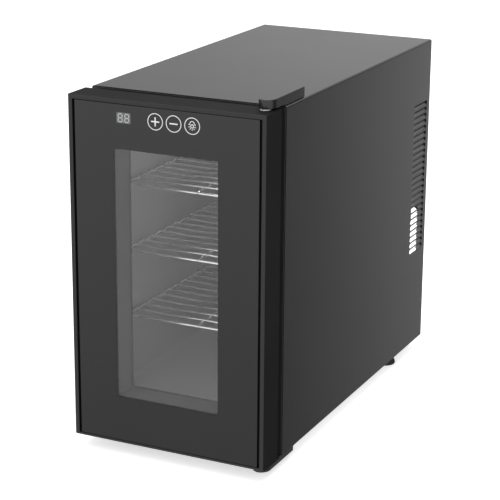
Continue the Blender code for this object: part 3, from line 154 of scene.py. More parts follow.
def add_plate(bm, loops, near, far, edge=0.0, axis="Y", steps=2):
    """A flat piece from closed outlines, the first outside and the rest holes, with its edges rounded."""
    curve = bpy.data.curves.new("plate", "CURVE")
    curve.dimensions = "2D"
    curve.fill_mode = "BOTH"
    curve.extrude = (far - near) / 2 - edge
    curve.bevel_depth = edge
    curve.bevel_resolution = steps - 1
    curve.offset = -edge
    for loop in loops:
        spline = curve.splines.new("POLY")
        spline.points.add(len(loop) - 1)
        for target, point in zip(spline.points, loop):
            target.co = (*point, 0, 1)
        spline.use_cyclic_u = True
    holder = bpy.data.objects.new("plate", curve)
    bpy.context.scene.collection.objects.link(holder)
    bpy.context.view_layer.update()
    graph = bpy.context.evaluated_depsgraph_get()
    mesh = bpy.data.meshes.new_from_object(holder.evaluated_get(graph))
    bpy.data.objects.remove(holder)
    bpy.data.curves.remove(curve)
    middle = (near + far) / 2
    for vertex in mesh.vertices:
        u, v, w = vertex.co
        vertex.co = on_axis(axis, u, v, w + middle)
    part = bmesh.new()
    part.from_mesh(mesh)
    bpy.data.meshes.remove(mesh)
    bmesh.ops.remove_doubles(part, verts=part.verts, dist=1e-7)
    merge(bm, part)


def add_box(bm, x, y, z, edge=0.0, material=0):
    part = bmesh.new()
    size = (x[1] - x[0], y[1] - y[0], z[1] - z[0], 1)
    middle = Vector((x[0] + x[1], y[0] + y[1], z[0] + z[1])) / 2
    bmesh.ops.create_cube(part, size=1, matrix=Matrix.Translation(middle) @ Matrix.Diagonal(size))
    if edge:
        edges = part.edges[:]
        bmesh.ops.bevel(
            part, geom=edges, offset=edge, segments=2, profile=0.5, affect="EDGES", clamp_overlap=True
        )
    for face in part.faces:
        face.material_index = material
    merge(bm, part)


def join_rings(bm, rings, closed):
    """Faces between neighbouring rings of the same number of vertices."""
    pairs = list(zip(rings, rings[1:]))
    if closed:
        pairs.append((rings[-1], rings[0]))
    for first, second in pairs:
        for i in range(len(first)):
            j = (i + 1) % len(first)
            bm.faces.new(list(dict.fromkeys((first[i], first[j], second[j], second[i]))))


def add_turned(bm, profile, axis, centre, segments=48, tube=False):
    """A profile of (radius, place along the axis) points turned about an axis through centre."""
    rings = []
    for radius, along in profile:
        if radius == 0:
            rings.append([bm.verts.new(on_axis(axis, *centre, along))] * segments)
            continue
        points = circle(centre, radius, segments)
        rings.append([bm.verts.new(on_axis(axis, u, v, along)) for u, v in points])
    join_rings(bm, rings, tube)


def add_wire(bm, points, radius, segments=12, closed=False):
    """A round wire along points, with domed ends unless it is closed."""
    points = [Vector(point) for point in points]
    count = len(points)
    turn = (points[1] - points[0]).normalized()
    side = turn.orthogonal().normalized()
    stations = []
    for i, point in enumerate(points):
        before = points[i - 1] if closed or i else point
        after = points[(i + 1) % count] if closed or i < count - 1 else point
        heading = (after - before).normalized()
        side = (side - heading * side.dot(heading)).normalized()
        stations.append((point, heading, side, radius))
    if not closed:
        first, last = stations[0], stations[-1]
        dome = [(0.0, 1.0), (0.7, 0.7)]
        starts = [(first[0] - first[1] * radius * k, first[1], first[2], radius * r) for r, k in dome]
        ends = [(last[0] + last[1] * radius * k, last[1], last[2], radius * r) for r, k in reversed(dome)]
        stations = starts + stations + ends
    rings = []
    for point, heading, across, size in stations:
        if size == 0:
            rings.append([bm.verts.new(point)] * segments)
            continue
        other = heading.cross(across)
        ring = []
        for i in range(segments):
            angle = 2 * math.pi * i / segments
            ring.append(bm.verts.new(point + (across * math.cos(angle) + other * math.sin(angle)) * size))
        rings.append(ring)
    join_rings(bm, rings, closed)


def add_loft(bm, axis, loops, closed=True, caps=False, cap_material=0):
    """A skin over outlines of (points, place) along an axis, each with the same number of points."""
    rings = []
    for points, place in loops:
        rings.append([bm.verts.new(on_axis(axis, u, v, place)) for u, v in points])
    join_rings(bm, rings, closed)
    if caps:
        for ring in (rings[0], rings[-1]):
            bm.faces.new(ring).material_index = cap_material


def add_prism(bm, axis, outline, near, far, material=0):
    """A solid with one closed outline between two places along an axis."""
    before = set(bm.faces)
    add_loft(bm, axis, [(outline, near), (outline, far)], False, True)
    for face in set(bm.faces) - before:
        face.material_index = material


def quarter_turn(steps=6):
    """Sine and cosine of equal steps from 0 to 90 degrees."""
    angles = [math.pi / 2 * i / steps for i in range(steps + 1)]
    return [(math.sin(angle), math.cos(angle)) for angle in angles]


def section(points, start=0.0):
    """Points in millimetres, as metres from a start along the second axis."""
    return [(u * MM, start + v * MM) for u, v in points]


# Objects


def to_object(name, bm):
    bmesh.ops.recalc_face_normals(bm, faces=bm.faces)
    mesh = bpy.data.meshes.new(name)
    bm.to_mesh(mesh)
    bm.free()
    obj = bpy.data.objects.new(name, mesh)
    bpy.context.scene.collection.objects.link(obj)
    return obj


def carve(obj, *cutters):
    """Cuts each cutter bmesh out of obj in turn."""
    tools = []
    for cutter in cutters:
        tool = to_object("cutter", cutter)
        modifier = obj.modifiers.new("cut", "BOOLEAN")
        modifier.operation = "DIFFERENCE"
        modifier.solver = "EXACT"
        modifier.object = tool
        tools.append(tool)
    apply_modifiers(obj)
    for tool in tools:
        bpy.data.meshes.remove(tool.data)
    return obj


def apply_modifiers(obj):
    bpy.context.view_layer.update()
    graph = bpy.context.evaluated_depsgraph_get()
    result = bpy.data.meshes.new_from_object(obj.evaluated_get(graph))
    obj.modifiers.clear()
    old = obj.data
    obj.data = result
    bpy.data.meshes.remove(old)


def round_edges(obj, width, segments=2, sharper=40):
    modifier = obj.modifiers.new("edges", "BEVEL")
    modifier.width = width
    modifier.segments = segments
    modifier.limit_method = "ANGLE"
    modifier.angle_limit = math.radians(sharper)
    apply_modifiers(obj)
    return obj


def put(obj, body, materials, nodes=(), sharper=35):
    """Finishes a piece: its materials, shading, the body that it rides on and the nodes it stands for."""
    for name in materials:
        obj.data.materials.append(bpy.data.materials[name])
    obj.data.shade_smooth()
    obj.data.set_sharp_from_angle(angle=math.radians(sharper))
    modifier = obj.modifiers.new("shading", "WEIGHTED_NORMAL")
    modifier.keep_sharp = True
    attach(obj, body)
    if nodes:
        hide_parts(*nodes)
    return obj


def paint_node(node, material):
    """Gives a CAD node that stays in view its surface."""
    for item in NODES[node].material_slots:
        item.link = "OBJECT"
        item.material = bpy.data.materials[material]


def middle_of(node):
    low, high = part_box(node)
    return (low + high) / 2


# Surface effects shared by the materials


def effect(name, inputs, outputs):
    """An empty shader group with its sockets, and the two nodes that stand for them inside it."""
    group = bpy.data.node_groups.new(name, "ShaderNodeTree")
    for socket_name, default in inputs:
        socket = group.interface.new_socket(name=socket_name, in_out="INPUT", socket_type="NodeSocketFloat")
        socket.default_value = default
    for socket_name in outputs:
        group.interface.new_socket(name=socket_name, in_out="OUTPUT", socket_type="NodeSocketFloat")
    return group, group.nodes.new("NodeGroupInput"), group.nodes.new("NodeGroupOutput")


def add_noise(tree, scale, detail=3.0, source=None):
    """A noise over the object's own coordinates, or over source."""
    noise = tree.nodes.new("ShaderNodeTexNoise")
    noise.inputs["Detail"].default_value = detail
    if source is None:
        source = tree.nodes.new("ShaderNodeTexCoord").outputs["Object"]
    tree.links.new(source, noise.inputs["Vector"])
    if isinstance(scale, bpy.types.NodeSocket):
        tree.links.new(scale, noise.inputs["Scale"])
    else:
        noise.inputs["Scale"].default_value = scale
    return noise.outputs["Fac"]


def preset(node, values):
    """Gives sockets of a node their values by name."""
    for socket_name, value in values.items():
        node.inputs[socket_name].default_value = value


def add_maths(tree, operation, *values):
    node = tree.nodes.new("ShaderNodeMath")
    node.operation = operation
    for socket, value in zip(node.inputs, values):
        if isinstance(value, bpy.types.NodeSocket):
            tree.links.new(value, socket)
        else:
            socket.default_value = value
    return node.outputs[0]


def stretch(tree, value, low, high, least=0.0, most=1.0):
    """value, from low to high, spread from least to most and clamped there."""
    node = tree.nodes.new("ShaderNodeMapRange")
    preset(node, {"From Min": low, "From Max": high, "To Min": least, "To Max": most})
    tree.links.new(value, node.inputs["Value"])
    return node.outputs["Result"]


def moulded_grain():
    """Fine spark texture of moulded plastic and powder paint, with a slow drift of shade."""
    inputs = [("Scale", 2000.0), ("Drift scale", 9.0)]
    group, entry, leave = effect("moulded grain", inputs, ("Height", "Shade"))
    fine = add_noise(group, entry.outputs["Scale"], 2.0)
    slow = add_noise(group, entry.outputs["Drift scale"], 3.0)
    group.links.new(fine, leave.inputs["Height"])
    group.links.new(stretch(group, slow, 0.3, 0.7), leave.inputs["Shade"])


def handled_gloss():
    """Roughness that drifts where hands and cloths have been."""
    inputs = [("Roughness", 0.4), ("Spread", 0.05), ("Scale", 14.0)]
    group, entry, leave = effect("handled gloss", inputs, ("Roughness",))
    patches = stretch(group, add_noise(group, entry.outputs["Scale"], 5.0), 0.35, 0.65)
    swing = add_maths(group, "MULTIPLY", add_maths(group, "SUBTRACT", patches, 0.5), entry.outputs["Spread"])
    result = add_maths(group, "ADD", entry.outputs["Roughness"], swing)
    group.links.new(result, leave.inputs["Roughness"])


def settled_dust():
    """Dust that lies thinly on surfaces that face up."""
    group, entry, leave = effect("settled dust", [("Amount", 0.1)], ("Mask",))
    normal = group.nodes.new("ShaderNodeNewGeometry")
    split = group.nodes.new("ShaderNodeSeparateXYZ")
    group.links.new(normal.outputs["Normal"], split.inputs[0])
    upward = stretch(group, split.outputs["Z"], 0.5, 1.0)
    specks = stretch(group, add_noise(group, 260.0, 6.0), 0.45, 0.8)
    mask = add_maths(group, "MULTIPLY", add_maths(group, "MULTIPLY", upward, specks), entry.outputs["Amount"])
    group.links.new(mask, leave.inputs["Mask"])


def drawn_streaks():
    """Long fine lines of drawn wire, rolled sheet and extruded metal."""
    inputs = [("Across X", 900.0), ("Across Y", 900.0), ("Across Z", 900.0)]
    group, entry, leave = effect("drawn streaks", inputs, ("Height", "Shade"))
    coordinates = group.nodes.new("ShaderNodeTexCoord")
    scales = group.nodes.new("ShaderNodeCombineXYZ")
    for socket, source in zip(scales.inputs, entry.outputs):
        group.links.new(source, socket)
    spread = group.nodes.new("ShaderNodeVectorMath")
    spread.operation = "MULTIPLY"
    group.links.new(coordinates.outputs["Object"], spread.inputs[0])
    group.links.new(scales.outputs[0], spread.inputs[1])
    lines = add_noise(group, 1.0, 4.0, spread.outputs[0])
    group.links.new(lines, leave.inputs["Height"])
    group.links.new(stretch(group, lines, 0.35, 0.65), leave.inputs["Shade"])


def place_effect(tree, name, **values):
    node = tree.nodes.new("ShaderNodeGroup")
    node.node_tree = bpy.data.node_groups[name]
    preset(node, {socket_name.replace("_", " "): value for socket_name, value in values.items()})
    return node


def mix_colours(tree, mask, first, second):
    node = tree.nodes.new("ShaderNodeMix")
    node.data_type = "RGBA"
    tree.links.new(mask, node.inputs["Factor"])
    for socket, colour in ((node.inputs[6], first), (node.inputs[7], second)):
        if isinstance(colour, bpy.types.NodeSocket):
            tree.links.new(colour, socket)
        else:
            socket.default_value = (*colour, 1)
    return node.outputs[2]


GRAIN_DEPTH = 0.05 * MM
DUST_GREY = (0.32, 0.31, 0.29)


def surface(
    name, colour, roughness, metallic=0.0, specular=0.5, drift=0.1, drift_scale=9.0, spread=0.05,
    grain=0.0, grain_scale=2000.0, streaks=None, dust=0.0,
):
    """A material: drifting colour and gloss, with a fine grain or drawn streaks as bump."""
    material = bpy.data.materials.new(name)
    material.use_nodes = True
    tree = material.node_tree
    shader = tree.nodes["Principled BSDF"]
    preset(shader, {"Metallic": metallic, "Specular IOR Level": specular})
    if streaks:
        across = dict(zip(("Across_X", "Across_Y", "Across_Z"), streaks))
        texture = place_effect(tree, "drawn streaks", **across)
    else:
        texture = place_effect(tree, "moulded grain", Scale=grain_scale, Drift_scale=drift_scale)
    dark = [c * (1 - drift) for c in colour]
    light = [min(c * (1 + drift), 1) for c in colour]
    base = mix_colours(tree, texture.outputs["Shade"], dark, light)
    if dust:
        mask = place_effect(tree, "settled dust", Amount=dust).outputs["Mask"]
        base = mix_colours(tree, mask, base, DUST_GREY)
    tree.links.new(base, shader.inputs["Base Color"])
    gloss = place_effect(tree, "handled gloss", Roughness=roughness, Spread=spread)
    tree.links.new(gloss.outputs["Roughness"], shader.inputs["Roughness"])
    if grain:
        bump = tree.nodes.new("ShaderNodeBump")
        preset(bump, {"Strength": grain, "Distance": GRAIN_DEPTH})
        tree.links.new(texture.outputs["Height"], bump.inputs["Height"])
        tree.links.new(bump.outputs["Normal"], shader.inputs["Normal"])
    return material


def clear_glass(name, tint, bend):
    """Clear glass that lamps and diffuse light pass straight through, so that what is behind it is lit."""
    material = bpy.data.materials.new(name)
    material.use_nodes = True
    tree = material.node_tree
    shader = tree.nodes["Principled BSDF"]
    preset(shader, {"Transmission Weight": 1.0, "Roughness": 0.0, "IOR": bend})
    texture = place_effect(tree, "moulded grain", Scale=30.0, Drift_scale=5.0)
    base = mix_colours(tree, texture.outputs["Shade"], [c * 0.97 for c in tint], tint)
    tree.links.new(base, shader.inputs["Base Color"])
    straight = tree.nodes.new("ShaderNodeBsdfTransparent")
    straight.inputs["Color"].default_value = (*tint, 1)
    paths = tree.nodes.new("ShaderNodeLightPath")
    unbent = add_maths(tree, "MAXIMUM", paths.outputs["Is Shadow Ray"], paths.outputs["Is Diffuse Ray"])
    mixer = tree.nodes.new("ShaderNodeMixShader")
    tree.links.new(unbent, mixer.inputs["Fac"])
    tree.links.new(shader.outputs["BSDF"], mixer.inputs[1])
    tree.links.new(straight.outputs["BSDF"], mixer.inputs[2])
    tree.links.new(mixer.outputs["Shader"], tree.nodes["Material Output"].inputs["Surface"])


def glowing(name, colour, strength):
    """A translucent lens lit from behind, with soft brighter patches."""
    material = surface(name, colour, 0.35, drift=0.03, grain=0.2)
    tree = material.node_tree
    shader = tree.nodes["Principled BSDF"]
    spots = stretch(tree, add_noise(tree, 60.0, 1.0), 0.3, 0.7)
    glow = mix_colours(tree, spots, [c * 0.8 for c in colour], colour)
    tree.links.new(glow, shader.inputs["Emission Color"])
    shader.inputs["Emission Strength"].default_value = strength


# Settings that a user would change


class CoolerSizes(bpy.types.PropertyGroup):
    """Sizes of the finish"""

    sheet_edge: FloatProperty(
        name="Sheet edge", description="Rounding of the cut edges of sheet metal",
        default=0.25 * MM, min=0.0, unit="LENGTH",
    )
    roof_bend: FloatProperty(
        name="Roof bend", description="Outer radius of the bend between roof and sides",
        default=2.6 * MM, min=0.0, unit="LENGTH",
    )
    vent_lip: FloatProperty(
        name="Vent lip", description="Height of the lip turned in behind the lower edge of each vent",
        default=2.9 * MM, min=0.0, unit="LENGTH",
    )
    door_edge: FloatProperty(
        name="Door edge", description="Rounding of the door's front edges",
        default=0.8 * MM, min=0.0, unit="LENGTH",
    )
    liner_corner: FloatProperty(
        name="Liner corner", description="Radius of the corners of the lined space",
        default=7 * MM, min=0.0, unit="LENGTH",
    )
    glass_edge: FloatProperty(
        name="Glass edge", description="Ground edge of the front glass",
        default=0.4 * MM, min=0.0, unit="LENGTH",
    )
    cover_edge: FloatProperty(
        name="Cap edge", description="Rounding of the moulded hinge cap",
        default=1.1 * MM, min=0.0, unit="LENGTH",
    )
    shelf_kink: FloatProperty(
        name="Shelf kink", description="Depth of the bends in the shelf bars that keep a bottle from rolling",
        default=1.0 * MM, min=0.0, unit="LENGTH",
    )
    ring_size: FloatProperty(
        name="Button ring", description="Outer diameter of the ring printed round each touch button",
        default=19.6 * MM, min=0.0, unit="LENGTH",
    )
    blade_count: IntProperty(
        name="Fan blades", description="Number of blades on each fan", default=7, min=3, max=13,
    )


class CoolerColours(bpy.types.PropertyGroup):
    """Colours of the finish"""

    shell: FloatVectorProperty(
        name="Shell", description="Powder paint of the cabinet", subtype="COLOR",
        default=(0.014, 0.014, 0.0145), min=0.0, max=1.0,
    )
    door: FloatVectorProperty(
        name="Door", description="Moulded plastic of the door frame", subtype="COLOR",
        default=(0.008, 0.008, 0.009), min=0.0, max=1.0,
    )
    print_black: FloatVectorProperty(
        name="Glass print", description="Ink behind the front glass", subtype="COLOR",
        default=(0.006, 0.006, 0.0065), min=0.0, max=1.0,
    )
    glass: FloatVectorProperty(
        name="Glass tint", description="Tint of the clear window", subtype="COLOR",
        default=(0.977, 0.975, 0.976), min=0.0, max=1.0,
    )
    liner: FloatVectorProperty(
        name="Liner", description="Plastic of the lined space", subtype="COLOR",
        default=(0.36, 0.357, 0.356), min=0.0, max=1.0,
    )
    legend: FloatVectorProperty(
        name="Legends", description="Printed rings and symbols of the touch buttons", subtype="COLOR",
        default=(0.62, 0.62, 0.62), min=0.0, max=1.0,
    )
    wire: FloatVectorProperty(
        name="Shelf wire", description="Plating of the wire shelves", subtype="COLOR",
        default=(0.8, 0.8, 0.8), min=0.0, max=1.0,
    )
    lamp: FloatProperty(name="Lamp", description="Brightness of the lamp inside", default=9.0, min=0.0)


class CoolerStudio(bpy.types.PropertyGroup):
    """Camera, floor and light"""

    camera_place: FloatVectorProperty(
        name="Camera", description="Place of the camera", subtype="TRANSLATION", unit="LENGTH",
        default=(0.904382, -1.931973, 0.8554),
    )
    camera_heading: FloatProperty(
        name="Heading", description="Turn of the camera to the left of straight back",
        default=math.radians(25.527), subtype="ANGLE",
    )
    camera_tilt: FloatProperty(
        name="Tilt", description="Angle that the camera looks down",
        default=math.radians(17.19), subtype="ANGLE",
    )
    camera_roll: FloatProperty(
        name="Roll", description="Roll of the camera", default=math.radians(0.433), subtype="ANGLE",
    )
    camera_lens: FloatProperty(
        name="Lens", description="Focal length in millimetres on a 36 mm sensor", default=124.87, min=10.0,
    )
    floor_size: FloatProperty(
        name="Floor", description="Side of the square floor", default=30.0, min=1.0, unit="LENGTH",
    )
    room_light: FloatProperty(
        name="Room light", description="Strength of the even light from all round", default=1.0, min=0.0,
    )


# Pieces


class COOLER_OT_surfaces(bpy.types.Operator):
    """Makes every material, and gives the CAD nodes that stay in view theirs"""

    bl_idname = "cooler.surfaces"
    bl_label = "Surfaces"

    def execute(self, context):
        colours = context.scene.cooler_colours
        moulded_grain()
        handled_gloss()
        settled_dust()
        drawn_streaks()
        surface("shell paint", colours.shell, 0.19, drift=0.05, grain=0.03, grain_scale=1400.0, spread=0.02)
        # Vent lips: the shell's paint in a far lighter grey, a painted highlight standing for light that
        # falls in through the vents
        surface("vent lip painted light", (0.2, 0.2, 0.205), 0.5, grain=0.2)
        surface("door plastic", colours.door, 0.6, specular=0.08, grain=0.05, grain_scale=1800.0, spread=0.03)
        surface("lip plastic", (0.008, 0.008, 0.0085), 0.55, grain=0.05, grain_scale=1800.0, spread=0.03)
        # Window reveal: the liner's grey darkened to a dark grey, a painted shade
        surface("reveal painted shade", (0.055, 0.055, 0.057), 0.45, grain=0.3)
        surface("glass print", colours.print_black, 0.09, spread=0.03)
        surface("liner plastic", colours.liner, 0.42, drift=0.04, grain=0.15, drift_scale=5.0)
        surface("black plastic", (0.014, 0.014, 0.015), 0.45, grain=0.4, dust=0.15)
        surface("insulation", (0.8, 0.68, 0.42), 0.9, grain=1.0, grain_scale=420.0, spread=0.1)
        surface("zinc steel", (0.55, 0.56, 0.57), 0.36, metallic=1.0, streaks=(60.0, 900.0, 900.0), grain=0.1)
        surface("bracket paint", (0.02, 0.02, 0.021), 0.4, grain=0.4, grain_scale=1200.0)
        surface("chrome wire", colours.wire, 0.13, metallic=0.82, drift=0.05, streaks=(40.0, 600.0, 600.0))
        surface("aluminium", (0.68, 0.69, 0.7), 0.34, metallic=1.0, streaks=(1200.0, 1200.0, 25.0), grain=0.3)
        surface("ceramic", (0.82, 0.82, 0.79), 0.6, grain=0.3)
        surface("board", (0.015, 0.11, 0.04), 0.4, grain=0.6, grain_scale=500.0, drift=0.3, drift_scale=160.0)
        surface("rubber", (0.012, 0.012, 0.012), 0.75, grain=0.6, grain_scale=1100.0, dust=0.2, spread=0.1)
        surface("gasket vinyl", (0.016, 0.016, 0.017), 0.6, grain=0.3, dust=0.05)
        surface("white plastic", (0.78, 0.78, 0.76), 0.4, grain=0.2)
        surface("lead sheath", (0.014, 0.014, 0.014), 0.5, grain=0.3, grain_scale=900.0)
        surface("brass", (0.78, 0.6, 0.3), 0.25, metallic=1.0, streaks=(900.0, 60.0, 900.0))
        surface("legend print", colours.legend, 0.35, drift=0.03)
        surface("display window", (0.085, 0.087, 0.088), 0.12, drift=0.08, drift_scale=300.0)
        surface("digit print", (0.36, 0.37, 0.37), 0.3, drift=0.06, drift_scale=400.0)
        clear_glass("window glass", tuple(colours.glass), 1.45)
        clear_glass("coated glass", tuple(colours.glass), 1.12)
        glowing("lamp lens", (1.0, 0.99, 0.97), colours.lamp)
        for material, nodes in CAD_SURFACES.items():
            for node in nodes:
                paint_node(node, material)
        return {"FINISHED"}


CAD_SURFACES = {
    "zinc steel": (
        "base_pan", "foam_back_sheet", "top_hinge_bracket", "top_hinge_anchor", "bottom_hinge_anchor",
        "top_hinge_pin", "bottom_hinge_pin", "top_hinge_screw_left", "top_hinge_screw_right",
    ),
    "insulation": ("insulation_foam", "door_foam"),
    "black plastic": ("cold_fan_frame", "power_supply_housing", "digit_display"),
    "aluminium": ("cold_heat_sink", "cold_block", "hot_heat_sink"),
    "ceramic": ("thermoelectric_module",),
    "board": ("power_supply_board", "control_board"),
    "lead sheath": ("mains_lead", "hot_fan_lead"),
    "white plastic": ("lamp_board", "door_bush_top", "door_bush_bottom"),
    "coated glass": ("inner_glass",),
    "rubber": ("gasket_magnet",),
}

# Side vents, from the cabinet's underside
VENT_COUNT = 25
VENT_PITCH = 8.35 * MM
VENT_LENGTH = 48.0 * MM
VENT_HEIGHT = 6.2 * MM
VENT_LOWEST = 137.0 * MM
VENT_TO_BACK = 10.0 * MM
SHEET = 0.8 * MM
REAR_FLANGE = 8.7 * MM
VENT_OPEN_ROWS = 8


class COOLER_OT_shell(bpy.types.Operator):
    """Painted steel shell: roof and sides bent from one sheet, with the side vents and the rear flange"""

    bl_idname = "cooler.shell"
    bl_label = "Cabinet shell"

    def execute(self, context):
        sizes = context.scene.cooler_sizes
        side = SHELL_HIGH.x
        bend = sizes.roof_bend
        inner = bend - SHEET
        outline = [(side, BOTTOM)]
        outline += arc((side - bend, TOP - bend), bend, 0, 90, 8)
        outline += arc((-side + bend, TOP - bend), bend, 90, 180, 8)
        outline += [(-side, BOTTOM), (-side + SHEET, BOTTOM)]
        outline += arc((-side + bend, TOP - bend), inner, 180, 90, 8)
        outline += arc((side - bend, TOP - bend), inner, 90, 0, 8)
        outline += [(side - SHEET, BOTTOM)]
        sheet = bmesh.new()
        add_prism(sheet, "Y", outline, SHELL_LOW.y, SHELL_HIGH.y)
        vents = bmesh.new()
        middle = SHELL_HIGH.y - VENT_TO_BACK - VENT_LENGTH / 2
        for row in range(VENT_COUNT):
            height = BOTTOM + VENT_LOWEST + row * VENT_PITCH
            vent = slot((middle, height), VENT_LENGTH, VENT_HEIGHT)
            add_plate(vents, [vent], -2 * side, 2 * side, axis="X")
        shell = round_edges(carve(to_object("cabinet_shell", sheet), vents), sizes.sheet_edge)
        bm = bmesh.new()
        bm.from_mesh(shell.data)
        self.add_lips(bm, sizes.vent_lip, middle)
        flange_back = COVER_LOW.y - FIT
        outer = side - SHEET / 2
        window = outer - REAR_FLANGE
        roof = TOP - SHEET / 2
        under = roof - REAR_FLANGE
        flange = [(outer, BOTTOM), (outer, roof), (-outer, roof), (-outer, BOTTOM)]
        flange += [(-window, BOTTOM), (-window, under), (window, under), (window, BOTTOM)]
        add_plate(bm, [flange], flange_back - SHEET, flange_back, 0.2 * MM)
        bm.to_mesh(shell.data)
        bm.free()
        put(shell, "cabinet", ["shell paint", "vent lip painted light"], ["outer_shell"])
        return {"FINISHED"}

    def add_lips(self, bm, rise, middle):
        """A lip turned in and up behind the lower part of each vent, at the back only on the lowest rows, in
        a lighter grey that is painted light from the vents.
        """
        back = middle + VENT_LENGTH / 2 - 0.2 * MM
        front = middle - VENT_LENGTH / 2 + 1.2 * MM
        for row in range(VENT_COUNT):
            low = BOTTOM + VENT_LOWEST + row * VENT_PITCH - VENT_HEIGHT / 2 - 0.3 * MM
            start = back - 17 * MM if row < VENT_OPEN_ROWS else front
            for turn in (-1, 1):
                wall = turn * (SHELL_HIGH.x - SHEET * 0.6)
                deep = wall - turn * rise
                profile = [(wall, low), (deep, low + rise), (deep, low + rise - 0.7 * MM)]
                profile += [(wall, low - 0.7 * MM)]
                # Material 1 is the lips' lighter grey, painted light from the vents
                add_prism(bm, "Y", profile, start, back, 1)


class COOLER_OT_front_trim(bpy.types.Operator):
    """Moulded trim round the front of the cabinet, which the gasket closes on"""

    bl_idname = "cooler.front_trim"
    bl_label = "Front trim"

    def execute(self, context):
        corner = context.scene.cooler_sizes.liner_corner
        bm = bmesh.new()
        outer = rounded((TRIM_LOW.x, TRIM_HIGH.x), (TRIM_LOW.z, TRIM_HIGH.z), 1.2 * MM, 3)
        opening = rounded((-CAVITY_SIDE, CAVITY_SIDE), (CAVITY_LOW, CAVITY_HIGH), corner, 8)
        add_plate(bm, [outer, opening], TRIM_LOW.y, TRIM_HIGH.y, 0.7 * MM, steps=3)
        put(to_object("front_trim", bm), "cabinet", ["black plastic"], ["front_frame"])
        return {"FINISHED"}


SHELF_NODES = ("wire_shelf_bottom", "wire_shelf_middle", "wire_shelf_top")
SHELF_BARS = 14
SHELF_PITCH = 21.4 * MM
RAIL_TO_BAR = 12.0 * MM
RAIL_RADIUS = 1.7 * MM
BAR_RADIUS = 1.2 * MM
RUNNER_RADIUS = 1.6 * MM
WELD = 0.4 * MM
LINER_BEND = 5 * MM

# A shelf bar's points: share of the way from its middle to its end, and whether it dips there
BAR_SHAPE = ((-1, 0), (-0.9, 0), (-0.5, 1), (-0.08, 0), (0.08, 0), (0.5, 1), (0.9, 0), (1, 0))


# Ledge section, in millimetres: out from the cavity's side, and up from the ledge's top
LEDGE_SECTION = ((0.5, 0.0), (-3.6, 0.0), (-4.7, -0.5), (-4.7, -1.2), (-3.2, -2.4), (0.5, -2.5))


class COOLER_OT_liner(bpy.types.Operator):
    """Formed plastic liner with soft corners and a ledge under each shelf"""

    bl_idname = "cooler.liner"
    bl_label = "Liner"

    def execute(self, context):
        corner = context.scene.cooler_sizes.liner_corner
        wide = (-CAVITY_SIDE, CAVITY_SIDE)
        tall = (CAVITY_LOW, CAVITY_HIGH)
        inside = rounded(wide, tall, corner, 8)
        outside = rounded(grow(wide, LINER_WALL), grow(tall, LINER_WALL), corner + LINER_WALL, 8)
        front = LINER_LOW.y
        loops = [(outside, LINER_HIGH.y), (outside, front), (inside, front + 0.01 * MM)]
        for sine, cosine in quarter_turn():
            place = CAVITY_BACK - LINER_BEND + LINER_BEND * sine
            loops.append((inset(inside, LINER_BEND * (1 - cosine)), place))
        bm = bmesh.new()
        add_loft(bm, "Y", loops, False)
        duct = 47 * MM
        hole = rounded((-duct, duct), (COOLING_Z - duct, COOLING_Z + duct), 4 * MM, 3)
        wall = rounded(grow(wide, -4.9 * MM), grow(tall, -4.9 * MM), 2.1 * MM, 8)
        add_plate(bm, [wall, hole], CAVITY_BACK, LINER_HIGH.y, 0.0)
        for node in SHELF_NODES:
            self.add_ledges(bm, node)
        liner = to_object("formed_liner", bm)
        put(liner, "cabinet", ["liner plastic"], ["inner_liner"])
        return {"FINISHED"}

    def add_ledges(self, bm, node):
        """A ledge on each side under a shelf's side wires."""
        low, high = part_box(node)
        top = high.z - 2 * BAR_RADIUS - 2 * RUNNER_RADIUS + WELD - FIT
        for turn in (-1, 1):
            outline = [(turn * (CAVITY_SIDE + u), v) for u, v in section(LEDGE_SECTION, top)]
            add_prism(bm, "Y", outline, low.y + 3 * RAIL_RADIUS, high.y + 5 * MM)


class COOLER_OT_shelves(bpy.types.Operator):
    """Three plated wire shelves: kinked bars welded across three wires that run front to back"""

    bl_idname = "cooler.shelves"
    bl_label = "Wire shelves"

    def execute(self, context):
        kink = context.scene.cooler_sizes.shelf_kink
        for node in SHELF_NODES:
            low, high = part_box(node)
            level = high.z - BAR_RADIUS
            front = low.y + RAIL_RADIUS
            rail_z = low.z + RAIL_RADIUS
            reach = high.x - FIT
            bm = bmesh.new()
            add_wire(bm, [(-reach, front, rail_z), (reach, front, rail_z)], RAIL_RADIUS)
            for i in range(SHELF_BARS):
                y = front + RAIL_TO_BAR + i * SHELF_PITCH
                add_wire(bm, [(share * reach, y, level - dip * kink) for share, dip in BAR_SHAPE], BAR_RADIUS)
            runner_z = level - BAR_RADIUS - RUNNER_RADIUS + WELD
            runner_x = reach - 2.2 * MM + FIT
            for x in (-runner_x, 0, runner_x):
                points = [(x, front - 0.6 * MM, rail_z + 0.4 * MM), (x, front + 3 * MM, runner_z - 0.5 * MM)]
                points += [(x, front + 6 * MM, runner_z), (x, high.y - RUNNER_RADIUS, runner_z)]
                add_wire(bm, points, RUNNER_RADIUS)
            body = node.replace("wire_", "")
            put(to_object("shelf_wires_" + node[11:], bm), body, ["chrome wire"], [node], 50)
        return {"FINISHED"}


GRILLE_RADIUS = 36 * MM
GRILLE_PITCH = 9 * MM
GRILLE_SLOT = 5 * MM


